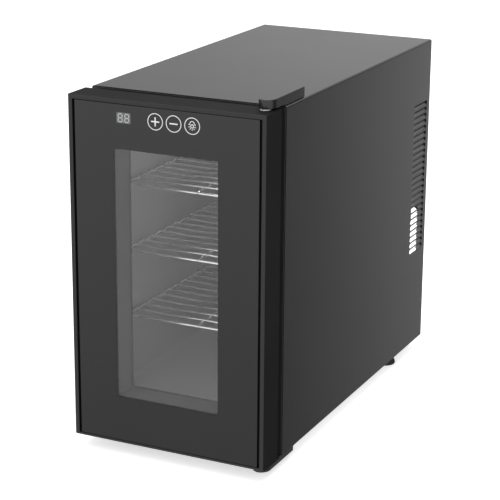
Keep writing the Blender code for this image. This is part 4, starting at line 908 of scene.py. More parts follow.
class COOLER_OT_inside_fittings(bpy.types.Operator):
    """Cover of the inner fan, lamp lens and temperature sensor"""

    bl_idname = "cooler.inside_fittings"
    bl_label = "Inside fittings"

    def execute(self, context):
        self.fan_cover()
        self.lamp()
        self.sensor()
        return {"FINISHED"}

    def fan_cover(self):
        low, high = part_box("cold_fan_cover")
        wall = 1.8 * MM
        outline = rounded((low.x, high.x), (low.z, high.z), 8 * MM, 6)
        bm = bmesh.new()
        slots = []
        for row in range(-3, 4):
            rise = row * GRILLE_PITCH
            chord = math.sqrt(GRILLE_RADIUS ** 2 - rise ** 2)
            slots.append(slot((0, COOLING_Z + rise), 2 * chord, GRILLE_SLOT, 6))
        add_plate(bm, [inset(outline, 0.4 * MM), *slots], low.y, low.y + wall, 0.6 * MM)
        loops = [(inset(outline, 1.4 * MM), low.y + 0.05 * MM), (inset(outline, 0.4 * MM), low.y + 0.5 * MM)]
        loops += [(outline, low.y + 1.5 * MM), (outline, high.y), (inset(outline, wall), high.y)]
        loops += [(inset(outline, wall), low.y + 0.5 * MM)]
        add_loft(bm, "Y", loops)
        for turn in (-1, 1):
            for row in (-30, -10, 10, 30):
                z = COOLING_Z + row * MM
                x = turn * (high.x - 0.1 * MM)
                near = high.y - 10 * MM
                thick = sorted((x, x - turn * 1.5 * MM))
                add_box(bm, thick, (near, near + 2 * MM), grow((z, z), 7 * MM), 0.4 * MM)
        grille = to_object("inner_fan_grille", bm)
        put(grille, "cabinet", ["liner plastic"], ["cold_fan_cover"])

    def lamp(self):
        low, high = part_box("lamp_lens")
        outline = rounded((low.x, high.x), (low.y, high.y), 4 * MM, 6)
        inner = inset(outline, 1.2 * MM)
        loops = [(inner, low.z + 1.2 * MM), (inner, high.z), (outline, high.z)]
        loops += [(outline, low.z + 2.5 * MM), (inset(outline, 0.3 * MM), low.z + 1.4 * MM)]
        loops += [(inset(outline, 1.0 * MM), low.z + 0.5 * MM), (inset(outline, 2.4 * MM), low.z)]
        bm = bmesh.new()
        add_loft(bm, "Z", loops, False, True)
        put(to_object("lamp_cover", bm), "cabinet", ["lamp lens"], ["lamp_lens"])

    def sensor(self):
        low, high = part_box("temperature_sensor")
        x = (low.x + high.x) / 2
        y = low.y + 3 * MM
        profile = section(((0, 0), (1.5, 0), (2.6, 0.5), (3, 1.6)), low.z)
        profile += section(((3, -1.6), (2.6, -0.5), (1.5, 0), (0, 0)), high.z)
        bm = bmesh.new()
        add_turned(bm, profile, "Z", (x, y), 28)
        middle = (low.z + high.z) / 2
        clip = section(((3.6, -4), (3.6, 4), (2.9, 4), (2.9, -4)), middle)
        add_turned(bm, clip, "Z", (x, y), 28, True)
        clip_z = (middle - 4 * MM, middle + 4 * MM)
        add_box(bm, (x - 2 * MM, x + 2 * MM), (y + 2 * MM, high.y), clip_z, 0.3 * MM)
        capsule = to_object("sensor_capsule", bm)
        put(capsule, "cabinet", ["white plastic"], ["temperature_sensor"])


COVER_SCREWS = [f"rear_screw_{height}_{side}" for height in ("low", "high") for side in ("left", "right")]


class COOLER_OT_rear_cover(bpy.types.Operator):
    """Rear cover with its fan window, hooded louvres and the opening for the mains inlet"""

    bl_idname = "cooler.rear_cover"
    bl_label = "Rear cover"

    def execute(self, context):
        outline = rounded((COVER_LOW.x, COVER_HIGH.x), (COVER_LOW.z, COVER_HIGH.z), 1.5 * MM, 3)
        window_half = DOOR_HIGH.x - 11 * MM
        window_low = BOTTOM + 44 * MM
        holes = [rounded((-window_half, window_half), (window_low, window_low + 142 * MM), 6 * MM, 6)]
        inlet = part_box("inlet_socket")
        inlet_x = (inlet[0].x + 1.7 * MM, inlet[1].x - 1.7 * MM)
        inlet_z = (inlet[0].z + 1.7 * MM, inlet[1].z - 1.7 * MM)
        holes.append(rounded(inlet_x, inlet_z, 0.5 * MM, 2))
        for name in COVER_SCREWS:
            place = middle_of(name)
            holes.append(circle((place.x, place.z), 1.8 * MM, 16))
        heights = [TOP - 28 * MM - row * 9.5 * MM for row in range(10)]
        for height in heights:
            holes.append(slot((0, height), 150 * MM, 4.5 * MM, 5))
        bm = bmesh.new()
        add_plate(bm, [outline, *holes], COVER_LOW.y, COVER_HIGH.y, 0.3 * MM)
        for height in heights:
            self.add_hood(bm, height)
        cover = to_object("rear_panel", bm)
        put(cover, "cabinet", ["shell paint"], ["rear_cover"])
        for name in COVER_SCREWS:
            add_screw(name, "Y", 1, 3.3 * MM, 1.5 * MM, 1.9 * MM)
        return {"FINISHED"}

    def add_hood(self, bm, height):
        """A pressed hood over a louvre, open along its lower edge and closed at its ends."""
        out = SHELL_HIGH.y - 0.4 * MM - COVER_HIGH.y
        back = COVER_HIGH.y
        quarters = quarter_turn()
        half = 77 * MM
        ends = [(half, 0.0), (half - 3 * MM, 0.8), (half - 6 * MM, 1.0)]
        rings = []
        for x, share in [(-x, share) for x, share in ends] + ends[::-1]:
            ring = []
            for sine, cosine in quarters:
                y = back - 0.2 * MM + (out + 0.2 * MM) * sine * share
                ring.append((x, y, height + 3.6 * MM - (1 - cosine) * 3.6 * MM))
            for sine, cosine in reversed(quarters):
                y = back - 0.25 * MM + max(out - 0.5 * MM, 0) * sine * share
                ring.append((x, y, height + 3.1 * MM - (1 - cosine) * 3.1 * MM))
            rings.append([bm.verts.new(point) for point in ring])
        join_rings(bm, rings, False)
        bm.faces.new(rings[0])
        bm.faces.new(rings[-1])


def add_screw(node, axis, out, head, shank, rise):
    """A pan-head screw with a cross recess in place of a plain one. out is the way its head faces."""
    low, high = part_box(node)
    centre = middle_of(node)
    place = {"Y": (centre.x, centre.z), "Z": (centre.x, centre.y)}[axis]
    index = "XYZ".index(axis)
    tip, top = (low[index], high[index]) if out > 0 else (high[index], low[index])
    under = top - out * rise
    profile = [(0, tip), (shank * 0.3, tip), (shank, tip + out * 1.2 * MM), (shank, under), (head, under)]
    for sine, cosine in quarter_turn()[1:-1]:
        profile.append((head * cosine ** 0.5, under + out * rise * sine))
    profile.append((0, top))
    bm = bmesh.new()
    add_turned(bm, profile, axis, place, 28)
    bmesh.ops.remove_doubles(bm, verts=bm.verts, dist=0.001 * MM)
    recess = []
    arm = head * 0.55
    slim = head * 0.11
    depth = tuple(sorted((top + out * MM, top - out * rise * 0.6)))
    for u, v in ((arm, slim), (slim, arm)):
        part_u = (place[0] - u, place[0] + u)
        part_v = (place[1] - v, place[1] + v)
        spans = {"Y": (part_u, depth, part_v), "Z": (part_u, part_v, depth)}[axis]
        recess.append(bmesh.new())
        add_box(recess[-1], *spans)
    screw = carve(to_object("screw_" + node, bm), *recess)
    put(screw, "cabinet", ["zinc steel"], [node])


BLADE_STEPS = 7


class COOLER_OT_fans(bpy.types.Operator):
    """Outer fan with its wire guard, and the rotors of both fans"""

    bl_idname = "cooler.fans"
    bl_label = "Fans"

    def execute(self, context):
        blades = context.scene.cooler_sizes.blade_count
        self.frame()
        self.guard()
        self.rotor("hot_fan_rotor", "hot_fan", 19.2 * MM, blades, 1)
        self.rotor("cold_fan_rotor", "cold_fan", 12.8 * MM, blades, -1)
        return {"FINISHED"}

    def frame(self):
        low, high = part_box("hot_fan_frame")
        half = (high.x - low.x) / 2
        bore = half - 3 * MM
        centre = (0, COOLING_Z)
        outline = rounded((low.x, high.x), (low.z, high.z), 5 * MM, 6)
        holes = [circle(centre, bore, 64)]
        for u in (-1, 1):
            for v in (-1, 1):
                holes.append(circle((u * 52.5 * MM, COOLING_Z + v * 52.5 * MM), 2.2 * MM, 20))
        bm = bmesh.new()
        for near, far in ((low.y, low.y + 4 * MM), (high.y - 4 * MM, high.y)):
            add_plate(bm, [outline, *holes], near, far, 0.5 * MM)
        near = low.y + 0.6 * MM
        far = high.y - 0.6 * MM
        duct = [(bore, near), (bore + 2 * MM, near), (bore + 2 * MM, far), (bore, far)]
        add_turned(bm, duct, "Y", centre, 64, True)
        seat = section(((0, -3.4), (18, -3.4), (18.5, -2.6), (18, -1.0), (17, -0.6), (0, -0.6)), high.y)
        add_turned(bm, seat, "Y", centre)
        for turn in range(4):
            angle = math.pi / 4 + math.pi / 2 * turn
            points = []
            for i in range(7):
                radius = 17 * MM + (bore - 16 * MM) * i / 6
                bow = angle + 0.1 * math.sin(math.pi * i / 6)
                points.append((radius * math.cos(bow), high.y - 2 * MM, COOLING_Z + radius * math.sin(bow)))
            add_wire(bm, points, 1.5 * MM, 8)
        frame_piece = to_object("outer_fan_frame", bm)
        put(frame_piece, "cabinet", ["black plastic"], ["hot_fan_frame"])

    def guard(self):
        middle = (GUARD_LOW.y + GUARD_HIGH.y) / 2
        reach = GUARD_HIGH.x - MM
        bm = bmesh.new()
        for radius in (0.34, 0.48, 0.62, 0.76, 0.9):
            ring = circle((0, COOLING_Z), radius * 60 * MM + MM, 64)
            add_wire(bm, [(u, middle, v) for u, v in ring], 0.95 * MM, 10, True)
        for u, v in ((1, 0), (0, 1)):
            ends = [(turn * u * reach, middle, COOLING_Z + turn * v * reach) for turn in (-1, 1)]
            add_wire(bm, ends, 0.9 * MM, 10)
        put(to_object("guard_wires", bm), "cabinet", ["chrome wire"], ["fan_guard"], 50)

    def rotor(self, node, body, hub, blades, turn):
        low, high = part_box(node)
        tip = (high.x - low.x) / 2
        bm = bmesh.new()
        profile = [(0, low.y), (hub - 1.5 * MM, low.y), (hub - 0.4 * MM, low.y + 0.4 * MM)]
        profile += [(hub, low.y + 1.5 * MM), (hub, high.y), (0, high.y)]
        add_turned(bm, profile, "Y", (0, COOLING_Z))
        for i in range(blades):
            self.add_blade(bm, 2 * math.pi * i / blades, hub, tip, low.y + 1.6 * MM, high.y - 1.6 * MM, turn)
        put(to_object(node + "_blades", bm), body, ["black plastic"], [node])

    def add_blade(self, bm, start, hub, tip, front, back, turn):
        """A thin cambered blade, twisted from hub to tip."""
        sheets = []
        for offset in (0.0, 1.0 * MM):
            grid = []
            for i in range(BLADE_STEPS + 1):
                share = i / BLADE_STEPS
                radius = hub - 0.5 * MM + (tip - hub + 0.3 * MM) * share
                row = []
                for j in range(BLADE_STEPS + 1):
                    along = j / BLADE_STEPS
                    bow = 0.09 * math.sin(math.pi * along)
                    angle = start + turn * ((0.72 - 0.22 * share) * along + bow + 0.22 * share)
                    y = front + (back - front - MM) * along + offset
                    x = radius * math.cos(angle)
                    z = COOLING_Z + radius * math.sin(angle)
                    row.append(bm.verts.new((x, y, z)))
                grid.append(row)
            sheets.append(grid)
        for grid in sheets:
            for i in range(BLADE_STEPS):
                for j in range(BLADE_STEPS):
                    bm.faces.new((grid[i][j], grid[i + 1][j], grid[i + 1][j + 1], grid[i][j + 1]))
        rims = []
        for grid in sheets:
            rim = [row[0] for row in grid]
            rim += grid[-1][1:]
            rim += [row[-1] for row in reversed(grid[:-1])]
            rim += reversed(grid[0][1:-1])
            rims.append(rim)
        join_rings(bm, rims, False)


class COOLER_OT_inlet(bpy.types.Operator):
    """Mains inlet: a shaped well with three flat pins, clipped in the rear cover"""

    bl_idname = "cooler.inlet"
    bl_label = "Mains inlet"

    def execute(self, context):
        low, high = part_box("inlet_socket")
        centre = middle_of("inlet_socket")
        body_x = grow((low.x, high.x), -2 * MM)
        body_z = grow((low.z, high.z), -2 * MM)
        well_x = grow(body_x, -2.4 * MM)
        well_z = grow(body_z, -2.4 * MM)
        chamfer = 4 * MM
        well = [(well_x[0], well_z[0]), (well_x[1], well_z[0]), (well_x[1], well_z[1] - chamfer)]
        well += [(well_x[1] - chamfer, well_z[1]), (well_x[0] + chamfer, well_z[1])]
        well += [(well_x[0], well_z[1] - chamfer)]
        bm = bmesh.new()
        flange = rounded((low.x, high.x), (low.z, high.z), 3 * MM, 5)
        add_plate(bm, [flange, well], COVER_HIGH.y + FIT, high.y, 0.5 * MM)
        floor = low.y + 3 * MM
        add_plate(bm, [rounded(body_x, body_z, 0.6 * MM, 2), well], floor, COVER_HIGH.y + MM)
        add_box(bm, body_x, (low.y, floor), body_z, 0.4 * MM)
        for across, lift in ((-7, -1.5), (0, 2.5), (7, -1.5)):
            pin_x = grow((centre.x + across * MM,) * 2, MM)
            pin_z = grow((centre.z + lift * MM,) * 2, 2 * MM)
            add_box(bm, pin_x, (floor - MM, high.y - 4 * MM), pin_z, 0.4 * MM, 1)
        inlet = to_object("mains_inlet", bm)
        put(inlet, "cabinet", ["black plastic", "brass"], ["inlet_socket"])
        return {"FINISHED"}


# Door section, in millimetres: inset of the sides, of the bottom and of the top, and depth behind the front
DOOR_EDGE_SECTION = (
    (0.0, 0.0, 0.0, 3.2), (0.0, 0.35, 0.0, 2.0), (0.0, 1.0, 0.0, 1.2), (0.0, 1.6, 0.0, 0.8),
    (0.07, 1.9, 0.07, 0.49), (0.23, 2.2, 0.23, 0.23), (0.49, 2.5, 0.49, 0.07), (0.8, 2.9, 0.8, 0.0),
    (4.4, 3.3, 4.4, 0.0), (4.9, 3.7, 4.9, 0.14), (5.25, 3.9, 5.25, 0.45), (5.4, 4.0, 5.4, 0.9),
)


class COOLER_OT_door_frame(bpy.types.Operator):
    """Moulded door frame: mitred lip round the glass, and the reveal of the window in a grey with painted
    shade
    """

    bl_idname = "cooler.door_frame"
    bl_label = "Door frame"

    def execute(self, context):
        side = DOOR_HIGH.x
        web_front = GLASS_HIGH.y + FIT
        web_back = web_front + 2.5 * MM
        tunnel_end = PANE_LOW.y - FIT
        lip = DOOR_EDGE_SECTION[-1]

        def ring(insets, y):
            x = side - insets[0] * MM
            z = (DOOR_LOW.z + insets[1] * MM, DOOR_HIGH.z - insets[2] * MM)
            return rounded((-x, x), z, 0.15 * MM, 2), y

        def window(step, y):
            return rounded(grow(WINDOW_X, step), grow(WINDOW_Z, step), 0.4 * MM, 2), y

        loops = [ring((0.4, 0.4, 0.4), DOOR_HIGH.y), ring((0.0, 0.0, 0.0), DOOR_HIGH.y - 0.4 * MM)]
        for section in DOOR_EDGE_SECTION:
            loops.append(ring(section, FRONT + section[3] * MM))
        loops += [ring(lip, web_front), window(0.5 * MM, web_front), window(0.0, web_front + 0.5 * MM)]
        loops += [window(0.0, tunnel_end - 0.3 * MM), window(0.3 * MM, tunnel_end)]
        loops += [window(2 * MM, tunnel_end), window(2 * MM, web_back)]
        loops += [ring(lip, web_back), ring(lip, DOOR_HIGH.y)]
        bm = bmesh.new()
        add_loft(bm, "Y", loops)
        bmesh.ops.recalc_face_normals(bm, faces=bm.faces)
        # Faces of the window's reveal take material 1, a grey with painted shade; faces at the front take the
        # lip plastic
        reach = WINDOW_X[1] + 0.6 * MM
        sill, head = grow(WINDOW_Z, 0.6 * MM)
        for face in bm.faces:
            middle = face.calc_center_median()
            face.material_index = int(abs(middle.x) < reach and sill < middle.z < head)
            if face.normal.y < -0.5 and middle.y < web_front - MM:
                face.material_index = 2
        frame_piece = to_object("door_surround", bm)
        looks = ["door plastic", "reveal painted shade", "lip plastic"]
        put(frame_piece, "door", looks, ["door_frame"], 30)
        bm = bmesh.new()
        low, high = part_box("door_back_panel")
        outline = rounded((low.x, high.x), (low.z, high.z), 2.5 * MM, 5)
        add_plate(bm, [outline, rounded(WINDOW_X, WINDOW_Z, 2 * MM, 4)], low.y, high.y, 0.5 * MM)
        put(to_object("door_inner_panel", bm), "door", ["black plastic"], ["door_back_panel"])
        return {"FINISHED"}


class COOLER_OT_front_glass(bpy.types.Operator):
    """Front glass with a ground edge, printed black round a clear window"""

    bl_idname = "cooler.front_glass"
    bl_label = "Front glass"

    def execute(self, context):
        edge = context.scene.cooler_sizes.glass_edge
        outline = rounded((GLASS_LOW.x, GLASS_HIGH.x), (GLASS_LOW.z, GLASS_HIGH.z), 1.2 * MM, 4)
        window = rounded(WINDOW_X, WINDOW_Z, 0.6 * MM, 4)
        near = GLASS_LOW.y
        far = GLASS_HIGH.y
        loops = [(window, far), (inset(outline, edge), far), (outline, far - edge)]
        loops += [(outline, near + edge), (inset(outline, edge), near), (window, near)]
        bm = bmesh.new()
        add_loft(bm, "Y", loops, False, True, 1)
        glass = to_object("printed_glass", bm)
        put(glass, "door", ["glass print", "window glass"], ["front_glass"])
        return {"FINISHED"}


CONTROL_Z = TOP - 21.2 * MM
TOUCH_X = (-12.2 * MM, 11.2 * MM, 34.6 * MM)
DIGITS_X = -53.0 * MM
SYMBOL_ARM = 5.2 * MM
SYMBOL_HALF = 0.75 * MM

# The seven bars of a digit, each from one corner to another
SEGMENTS = (
    ((-1, 1), (1, 1)), ((-1, 0), (1, 0)), ((-1, -1), (1, -1)), ((-1, 0), (-1, 1)), ((1, 0), (1, 1)),
    ((-1, -1), (-1, 0)), ((1, -1), (1, 0)),
)


class COOLER_OT_controls(bpy.types.Operator):
    """Display window with two digits, and the printed rings and symbols of the touch buttons"""

    bl_idname = "cooler.controls"
    bl_label = "Controls"

    def execute(self, context):
        self.face = GLASS_LOW.y
        bm = bmesh.new()
        window_x = grow((DIGITS_X,) * 2, 9.15 * MM)
        window = rounded(window_x, grow((CONTROL_Z,) * 2, 6.25 * MM), 0.4 * MM, 3)
        add_plate(bm, [window], self.face - 0.05 * MM, self.face + 0.1 * MM)
        put(to_object("display_window", bm), "door", ["display window"])
        bm = bmesh.new()
        for offset in (-4.3 * MM, 4.3 * MM):
            self.add_digit(bm, DIGITS_X + offset)
        self.add_print(bm, circle((DIGITS_X + 0.2 * MM, CONTROL_Z - 4 * MM), 0.55 * MM, 12), lift=0.11 * MM)
        put(to_object("display_digits", bm), "door", ["digit print"])
        bm = bmesh.new()
        radius = context.scene.cooler_sizes.ring_size / 2
        for x in TOUCH_X:
            outer = circle((x, CONTROL_Z), radius, 64)
            self.add_print(bm, outer, circle((x, CONTROL_Z), radius - 0.9 * MM, 64))
        self.add_plus(bm, TOUCH_X[0])
        minus_x = grow((TOUCH_X[1],) * 2, SYMBOL_ARM)
        self.add_print(bm, rounded(minus_x, grow((CONTROL_Z,) * 2, SYMBOL_HALF), 0.2 * MM, 2))
        self.add_lamp_symbol(bm, TOUCH_X[2])
        put(to_object("button_prints", bm), "door", ["legend print"])
        return {"FINISHED"}

    def add_print(self, bm, *loops, lift=0.06 * MM):
        add_plate(bm, loops, self.face - lift, self.face + 0.1 * MM)

    def add_digit(self, bm, x):
        half_width = 2.55 * MM
        half_height = 4.6 * MM
        thick = 0.62 * MM
        gap = 0.25 * MM
        for start, end in SEGMENTS:
            first = Vector((x + start[0] * half_width, CONTROL_Z + start[1] * half_height))
            last = Vector((x + end[0] * half_width, CONTROL_Z + end[1] * half_height))
            along = (last - first).normalized()
            across = Vector((-along.y, along.x)) * thick
            first += along * gap
            last -= along * gap
            tip = along * thick
            outline = [first, first + tip - across, last - tip - across, last, last - tip + across]
            outline.append(first + tip + across)
            self.add_print(bm, [tuple(point) for point in outline], lift=0.11 * MM)

    def add_plus(self, bm, x):
        quarter = [(SYMBOL_ARM, -SYMBOL_HALF), (SYMBOL_ARM, SYMBOL_HALF), (SYMBOL_HALF, SYMBOL_HALF)]
        outline = []
        for turn in range(4):
            angle = math.pi / 2 * turn
            for u, v in quarter:
                turned_u = u * math.cos(angle) - v * math.sin(angle)
                turned_v = u * math.sin(angle) + v * math.cos(angle)
                outline.append((x + turned_u, CONTROL_Z + turned_v))
        self.add_print(bm, outline)

    def add_lamp_symbol(self, bm, x):
        """A shade over a bulb, with rays below it."""
        shade = arc((x, CONTROL_Z + 2.4 * MM), 3.3 * MM, 0, 180, 16)
        shade += arc((x, CONTROL_Z + 2.4 * MM), 2.5 * MM, 180, 0, 16)
        self.add_print(bm, shade)
        for side in (-1, 1):
            ends = sorted((x + 2.6 * MM * side, x + 4.7 * MM * side))
            self.add_print(bm, rounded(ends, (CONTROL_Z + 1.2 * MM, CONTROL_Z + 2.1 * MM), 0.2 * MM, 2))
        bulb = (x, CONTROL_Z - 0.2 * MM)
        self.add_print(bm, circle(bulb, 2.3 * MM, 24), circle(bulb, 1.35 * MM, 24))
        for degrees in (195, 232, 270, 308, 345):
            angle = math.radians(degrees)
            along = Vector((math.cos(angle), math.sin(angle)))
            across = Vector((-along.y, along.x)) * 0.35 * MM
            near = Vector(bulb) + along * 2.9 * MM
            far = Vector(bulb) + along * 4.9 * MM
            outline = [near - across, far - across, far + across, near + across]
            self.add_print(bm, [tuple(point) for point in outline])


# Gasket section, in millimetres: how far in from its outer edge, and depth behind the door
GASKET_SECTION = (
    (0.6, 0.0), (8.9, 0.0), (8.9, 1.1), (7.6, 1.9), (7.3, 2.6), (8.5, 3.4), (8.7, 4.0), (7.8, 4.8),
    (8.9, 5.6), (9.4, 6.4), (9.5, 7.0), (9.5, 10.4), (9.2, 11.1), (8.6, 11.4), (0.9, 11.4), (0.3, 11.1),
    (0.0, 10.4), (0.0, 7.0), (0.1, 6.4), (0.6, 5.6), (1.7, 4.8), (0.8, 4.0), (1.0, 3.4), (2.2, 2.6),
    (1.9, 1.9), (0.6, 1.1),
)


class COOLER_OT_gasket(bpy.types.Operator):
    """Soft door gasket with folds that let its magnet chamber reach the cabinet"""

    bl_idname = "cooler.gasket"
    bl_label = "Gasket"

    def execute(self, context):
        low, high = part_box("door_gasket")
        outline = rounded((low.x, high.x), (low.z, high.z), 12 * MM, 8)
        bm = bmesh.new()
        loops = [(inset(outline, edge), y) for edge, y in section(GASKET_SECTION, low.y)]
        add_loft(bm, "Y", loops)
        put(to_object("gasket_folds", bm), "door", ["gasket vinyl"], ["door_gasket"], 60)
        return {"FINISHED"}


def hinge_outline(low, high):
    """Plan of a hinge plate inside a box: a slanted left side and a round corner at the front."""
    corner = 12 * MM
    outline = [(high.x - corner - 5.5 * MM, low.y + 2.6 * MM)]
    outline += arc((high.x - corner, low.y + corner), corner, 270, 360, 10)
    return outline + [(high.x, high.y), (low.x, high.y)]


class COOLER_OT_hinges(bpy.types.Operator):
    """Moulded cap over the top hinge, and the pressed bracket under the door"""

    bl_idname = "cooler.hinges"
    bl_label = "Hinges"

    def execute(self, context):
        self.cap(context.scene.cooler_sizes.cover_edge)
        self.bracket()
        for name in ("bottom_hinge_screw_left", "bottom_hinge_screw_right"):
            add_screw(name, "Z", -1, 4.2 * MM, 2.0 * MM, 2.2 * MM)
        return {"FINISHED"}

    def cap(self, edge):
        low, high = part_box("hinge_cover")
        outline = hinge_outline(low, high)
        wall = 1.8 * MM
        body = bmesh.new()
        add_prism(body, "Z", outline, low.z, high.z)
        room = bmesh.new()
        inner = inset(outline, wall)
        add_prism(room, "Z", inner, low.z - MM, high.z - wall)
        over_door = bmesh.new()
        step = SHELL_LOW.y - MM
        add_box(over_door, (0, DOOR_HIGH.x), (FRONT, step), (low.z - MM, TOP + 1.8 * MM))
        piece = carve(to_object("hinge_cap", body), room, over_door)
        round_edges(piece, edge, 3)
        put(piece, "cabinet", ["shell paint"], ["hinge_cover"], 40)

    def bracket(self):
        low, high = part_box("bottom_hinge_bracket")
        outline = hinge_outline(low, high)
        plate = 2.5 * MM
        joggle = 2.0 * MM
        step = SHELL_LOW.y - 4 * MM
        body = bmesh.new()
        add_prism(body, "Z", outline, low.z, high.z)
        inner = inset(outline, plate)
        room = bmesh.new()
        add_prism(room, "Z", inner, low.z - MM, high.z - plate - joggle)
        back_room = bmesh.new()
        add_prism(back_room, "Z", inner, low.z - MM, high.z - plate)
        front_block = bmesh.new()
        add_box(front_block, (0, DOOR_HIGH.x), (FRONT, step), (low.z, high.z))
        back_tool = to_object("back_room", back_room)
        carve(back_tool, front_block)
        back_cutter = bmesh.new()
        back_cutter.from_mesh(back_tool.data)
        bpy.data.meshes.remove(back_tool.data)
        over = bmesh.new()
        add_box(over, (0, DOOR_HIGH.x), (FRONT, step), (high.z - joggle, high.z + MM))
        hole = bmesh.new()
        bore = 3.3 * MM
        profile = [(0, low.z - MM), (bore, low.z - MM), (bore, high.z), (0, high.z)]
        add_turned(hole, profile, "Z", (HINGE_X, HINGE_Y), 32)
        piece = carve(to_object("hinge_bracket", body), room, back_cutter, over, hole)
        round_edges(piece, 0.9 * MM, 3)
        put(piece, "cabinet", ["bracket paint"], ["bottom_hinge_bracket"], 40)


FEET = ("foot_front_left", "foot_front_right", "foot_rear_left", "foot_rear_right")

# Foot section, in millimetres: radius and height, from the middle of its tread up its flared side
FOOT_SECTION = (
    (0, 0.8), (8, 0.8), (8.4, 0), (10.4, 0), (10.8, 0.8), (11.6, 0.8), (12, 0), (14, 0),
    (14.7, 0.3), (15, 1.2), (15, 2.6), (14.6, 3.6), (13.6, 6), (12.6, 9.6), (12.1, 12.6),
)


class COOLER_OT_feet(bpy.types.Operator):
    """Four flared rubber feet with a ribbed tread"""

    bl_idname = "cooler.feet"
    bl_label = "Feet"

    def execute(self, context):
        for node in FEET:
            low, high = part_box(node)
            centre = ((low.x + high.x) / 2, (low.y + high.y) / 2)
            shoulder = BOTTOM - 0.15 * MM
            profile = section(FOOT_SECTION)
            profile += section(((11.9, -0.8), (11.3, -0.1), (10.6, 0), (3, 0)), shoulder)
            profile += section(((3, -5), (4, -5), (2, 0), (0, 0)), high.z)
            bm = bmesh.new()
            add_turned(bm, profile, "Z", centre)
            put(to_object("rubber_" + node, bm), "cabinet", ["rubber"], [node], 40)
        return {"FINISHED"}


class COOLER_OT_studio(bpy.types.Operator):
    """Pale floor, soft lights and the camera"""

    bl_idname = "cooler.studio"
    bl_label = "Studio"

    def execute(self, context):
        studio = context.scene.cooler_studio
        self.floor(studio.floor_size)
        self.room(context.scene, studio.room_light)
        for light in SOFT_LIGHTS:
            self.soft_light(*light)
        self.camera(context.scene, studio)
        return {"FINISHED"}

    def floor(self, size):
        bm = bmesh.new()
        bmesh.ops.create_grid(bm, x_segments=4, y_segments=4, size=size / 2)
        floor = to_object("studio_floor", bm)
        material = surface("floor paper", (0.9, 0.9, 0.9), 0.8, specular=0.1, drift=0.01, drift_scale=1.5)
        shader = material.node_tree.nodes["Principled BSDF"]
        preset(shader, {"Emission Color": (1, 1, 1, 1), "Emission Strength": 0.6})
        floor.data.materials.append(material)
        floor.visible_glossy = False

    def room(self, scene, strength):
        world = bpy.data.worlds.new("studio")
        world.use_nodes = True
        tree = world.node_tree
        place = tree.nodes.new("ShaderNodeTexCoord")
        parts = tree.nodes.new("ShaderNodeSeparateXYZ")
        tree.links.new(place.outputs["Generated"], parts.inputs["Vector"])
        turn = add_maths(tree, "ARCTAN2", parts.outputs["X"], parts.outputs["Y"])
        share = add_maths(tree, "MULTIPLY_ADD", turn, 0.5 / math.pi, 0.5)
        ramp = tree.nodes.new("ShaderNodeValToRGB")
        ramp.color_ramp.interpolation = "EASE"
        stops = ramp.color_ramp.elements
        for stop in stops:
            stop.color = (1, 1, 1, 1)
        for degrees, level in ROOM_WALLS:
            stops.new(0.5 + degrees / 360).color = (level, level, level, 1)
        tree.links.new(share, ramp.inputs["Fac"])
        background = tree.nodes["Background"]
        tree.links.new(ramp.outputs["Color"], background.inputs["Color"])
        level = stretch(tree, parts.outputs["Z"], -0.42, -0.22, 0.78 * strength, 1.25 * strength)
        tree.links.new(level, background.inputs["Strength"])
        scene.world = world
        scene.view_settings.view_transform = "Standard"

    def soft_light(self, name, place, target, size, power):
        light = bpy.data.lights.new(name, "AREA")
        light.shape = "RECTANGLE"
        light.size, light.size_y = size
        light.energy = power
        lamp = bpy.data.objects.new(name, light)
        bpy.context.scene.collection.objects.link(lamp)
        lamp.location = place
        heading = Vector(target) - Vector(place)
        lamp.rotation_euler = heading.to_track_quat("-Z", "Y").to_euler()

    def camera(self, scene, studio):
        data = bpy.data.cameras.new("studio camera")
        data.lens = studio.camera_lens
        data.sensor_width = 36
        data.clip_end = 100
        camera = bpy.data.objects.new("studio camera", data)
        scene.collection.objects.link(camera)
        heading, tilt, roll = studio.camera_heading, studio.camera_tilt, studio.camera_roll
        ahead = Vector((
            -math.sin(heading) * math.cos(tilt), math.cos(heading) * math.cos(tilt), -math.sin(tilt),
        ))
        level = Vector((math.cos(heading), math.sin(heading), 0))
        above = level.cross(ahead)
        right = level * math.cos(roll) + above * math.sin(roll)
        up = above * math.cos(roll) - level * math.sin(roll)
        turn = Matrix((right, up, -ahead)).transposed().to_4x4()
        camera.matrix_world = Matrix.Translation(Vector(studio.camera_place)) @ turn
        scene.camera = camera


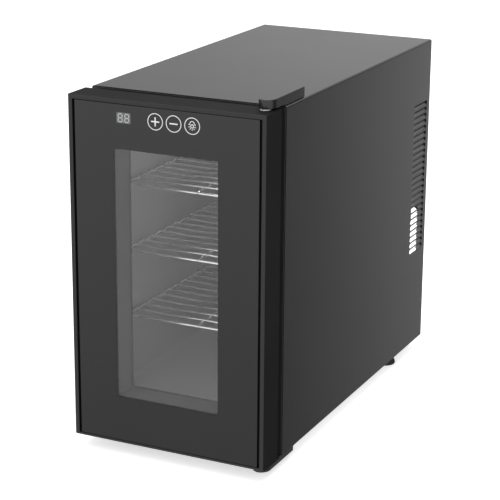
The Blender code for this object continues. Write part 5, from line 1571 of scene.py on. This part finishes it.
# How bright the room is by its heading, in degrees to the right of straight behind the cooler
ROOM_WALLS = (
    (-110, 0.9), (-60, 0.42), (-31, 0.42), (-20, 0.53), (18.5, 0.72), (21.5, 0.2), (24.3, 0.16), (27, 0.02),
    (70, 0.02), (110, 0.9),
)

# Name, place, aim, size and power of each soft light
SOFT_LIGHTS = (
    ("overhead softbox", (0.0, 0.3, 2.4), (0.0, 0.0, 0.2), (2.4, 2.4), 30.0),
)

STEPS = (
    "surfaces", "shell", "front_trim", "liner", "shelves", "inside_fittings", "rear_cover", "fans", "inlet",
    "door_frame", "front_glass", "controls", "gasket", "hinges", "feet", "studio",
)


class COOLER_PT_finish(bpy.types.Panel):
    """Lists the settings and the steps that build the finish"""

    bl_label = "Wine cooler finish"
    bl_idname = "COOLER_PT_finish"
    bl_space_type = "VIEW_3D"
    bl_region_type = "UI"
    bl_category = "Cooler"

    def draw(self, context):
        scene = context.scene
        for settings in (scene.cooler_sizes, scene.cooler_colours, scene.cooler_studio):
            column = self.layout.column()
            for name in settings.__annotations__:
                column.prop(settings, name)
        for step in STEPS:
            self.layout.operator("cooler." + step)


CLASSES = (
    CoolerSizes, CoolerColours, CoolerStudio, COOLER_OT_surfaces, COOLER_OT_shell, COOLER_OT_front_trim,
    COOLER_OT_liner, COOLER_OT_shelves, COOLER_OT_inside_fittings, COOLER_OT_rear_cover, COOLER_OT_fans,
    COOLER_OT_inlet, COOLER_OT_door_frame, COOLER_OT_front_glass, COOLER_OT_controls, COOLER_OT_gasket,
    COOLER_OT_hinges, COOLER_OT_feet, COOLER_OT_studio, COOLER_PT_finish,
)


def register():
    for cls in CLASSES:
        bpy.utils.register_class(cls)
    bpy.types.Scene.cooler_sizes = PointerProperty(type=CoolerSizes)
    bpy.types.Scene.cooler_colours = PointerProperty(type=CoolerColours)
    bpy.types.Scene.cooler_studio = PointerProperty(type=CoolerStudio)


def unregister():
    del bpy.types.Scene.cooler_sizes
    del bpy.types.Scene.cooler_colours
    del bpy.types.Scene.cooler_studio
    for cls in reversed(CLASSES):
        bpy.utils.unregister_class(cls)


def main():
    register()
    for step in STEPS:
        getattr(bpy.ops.cooler, step)()


if __name__ == "__main__":
    main()
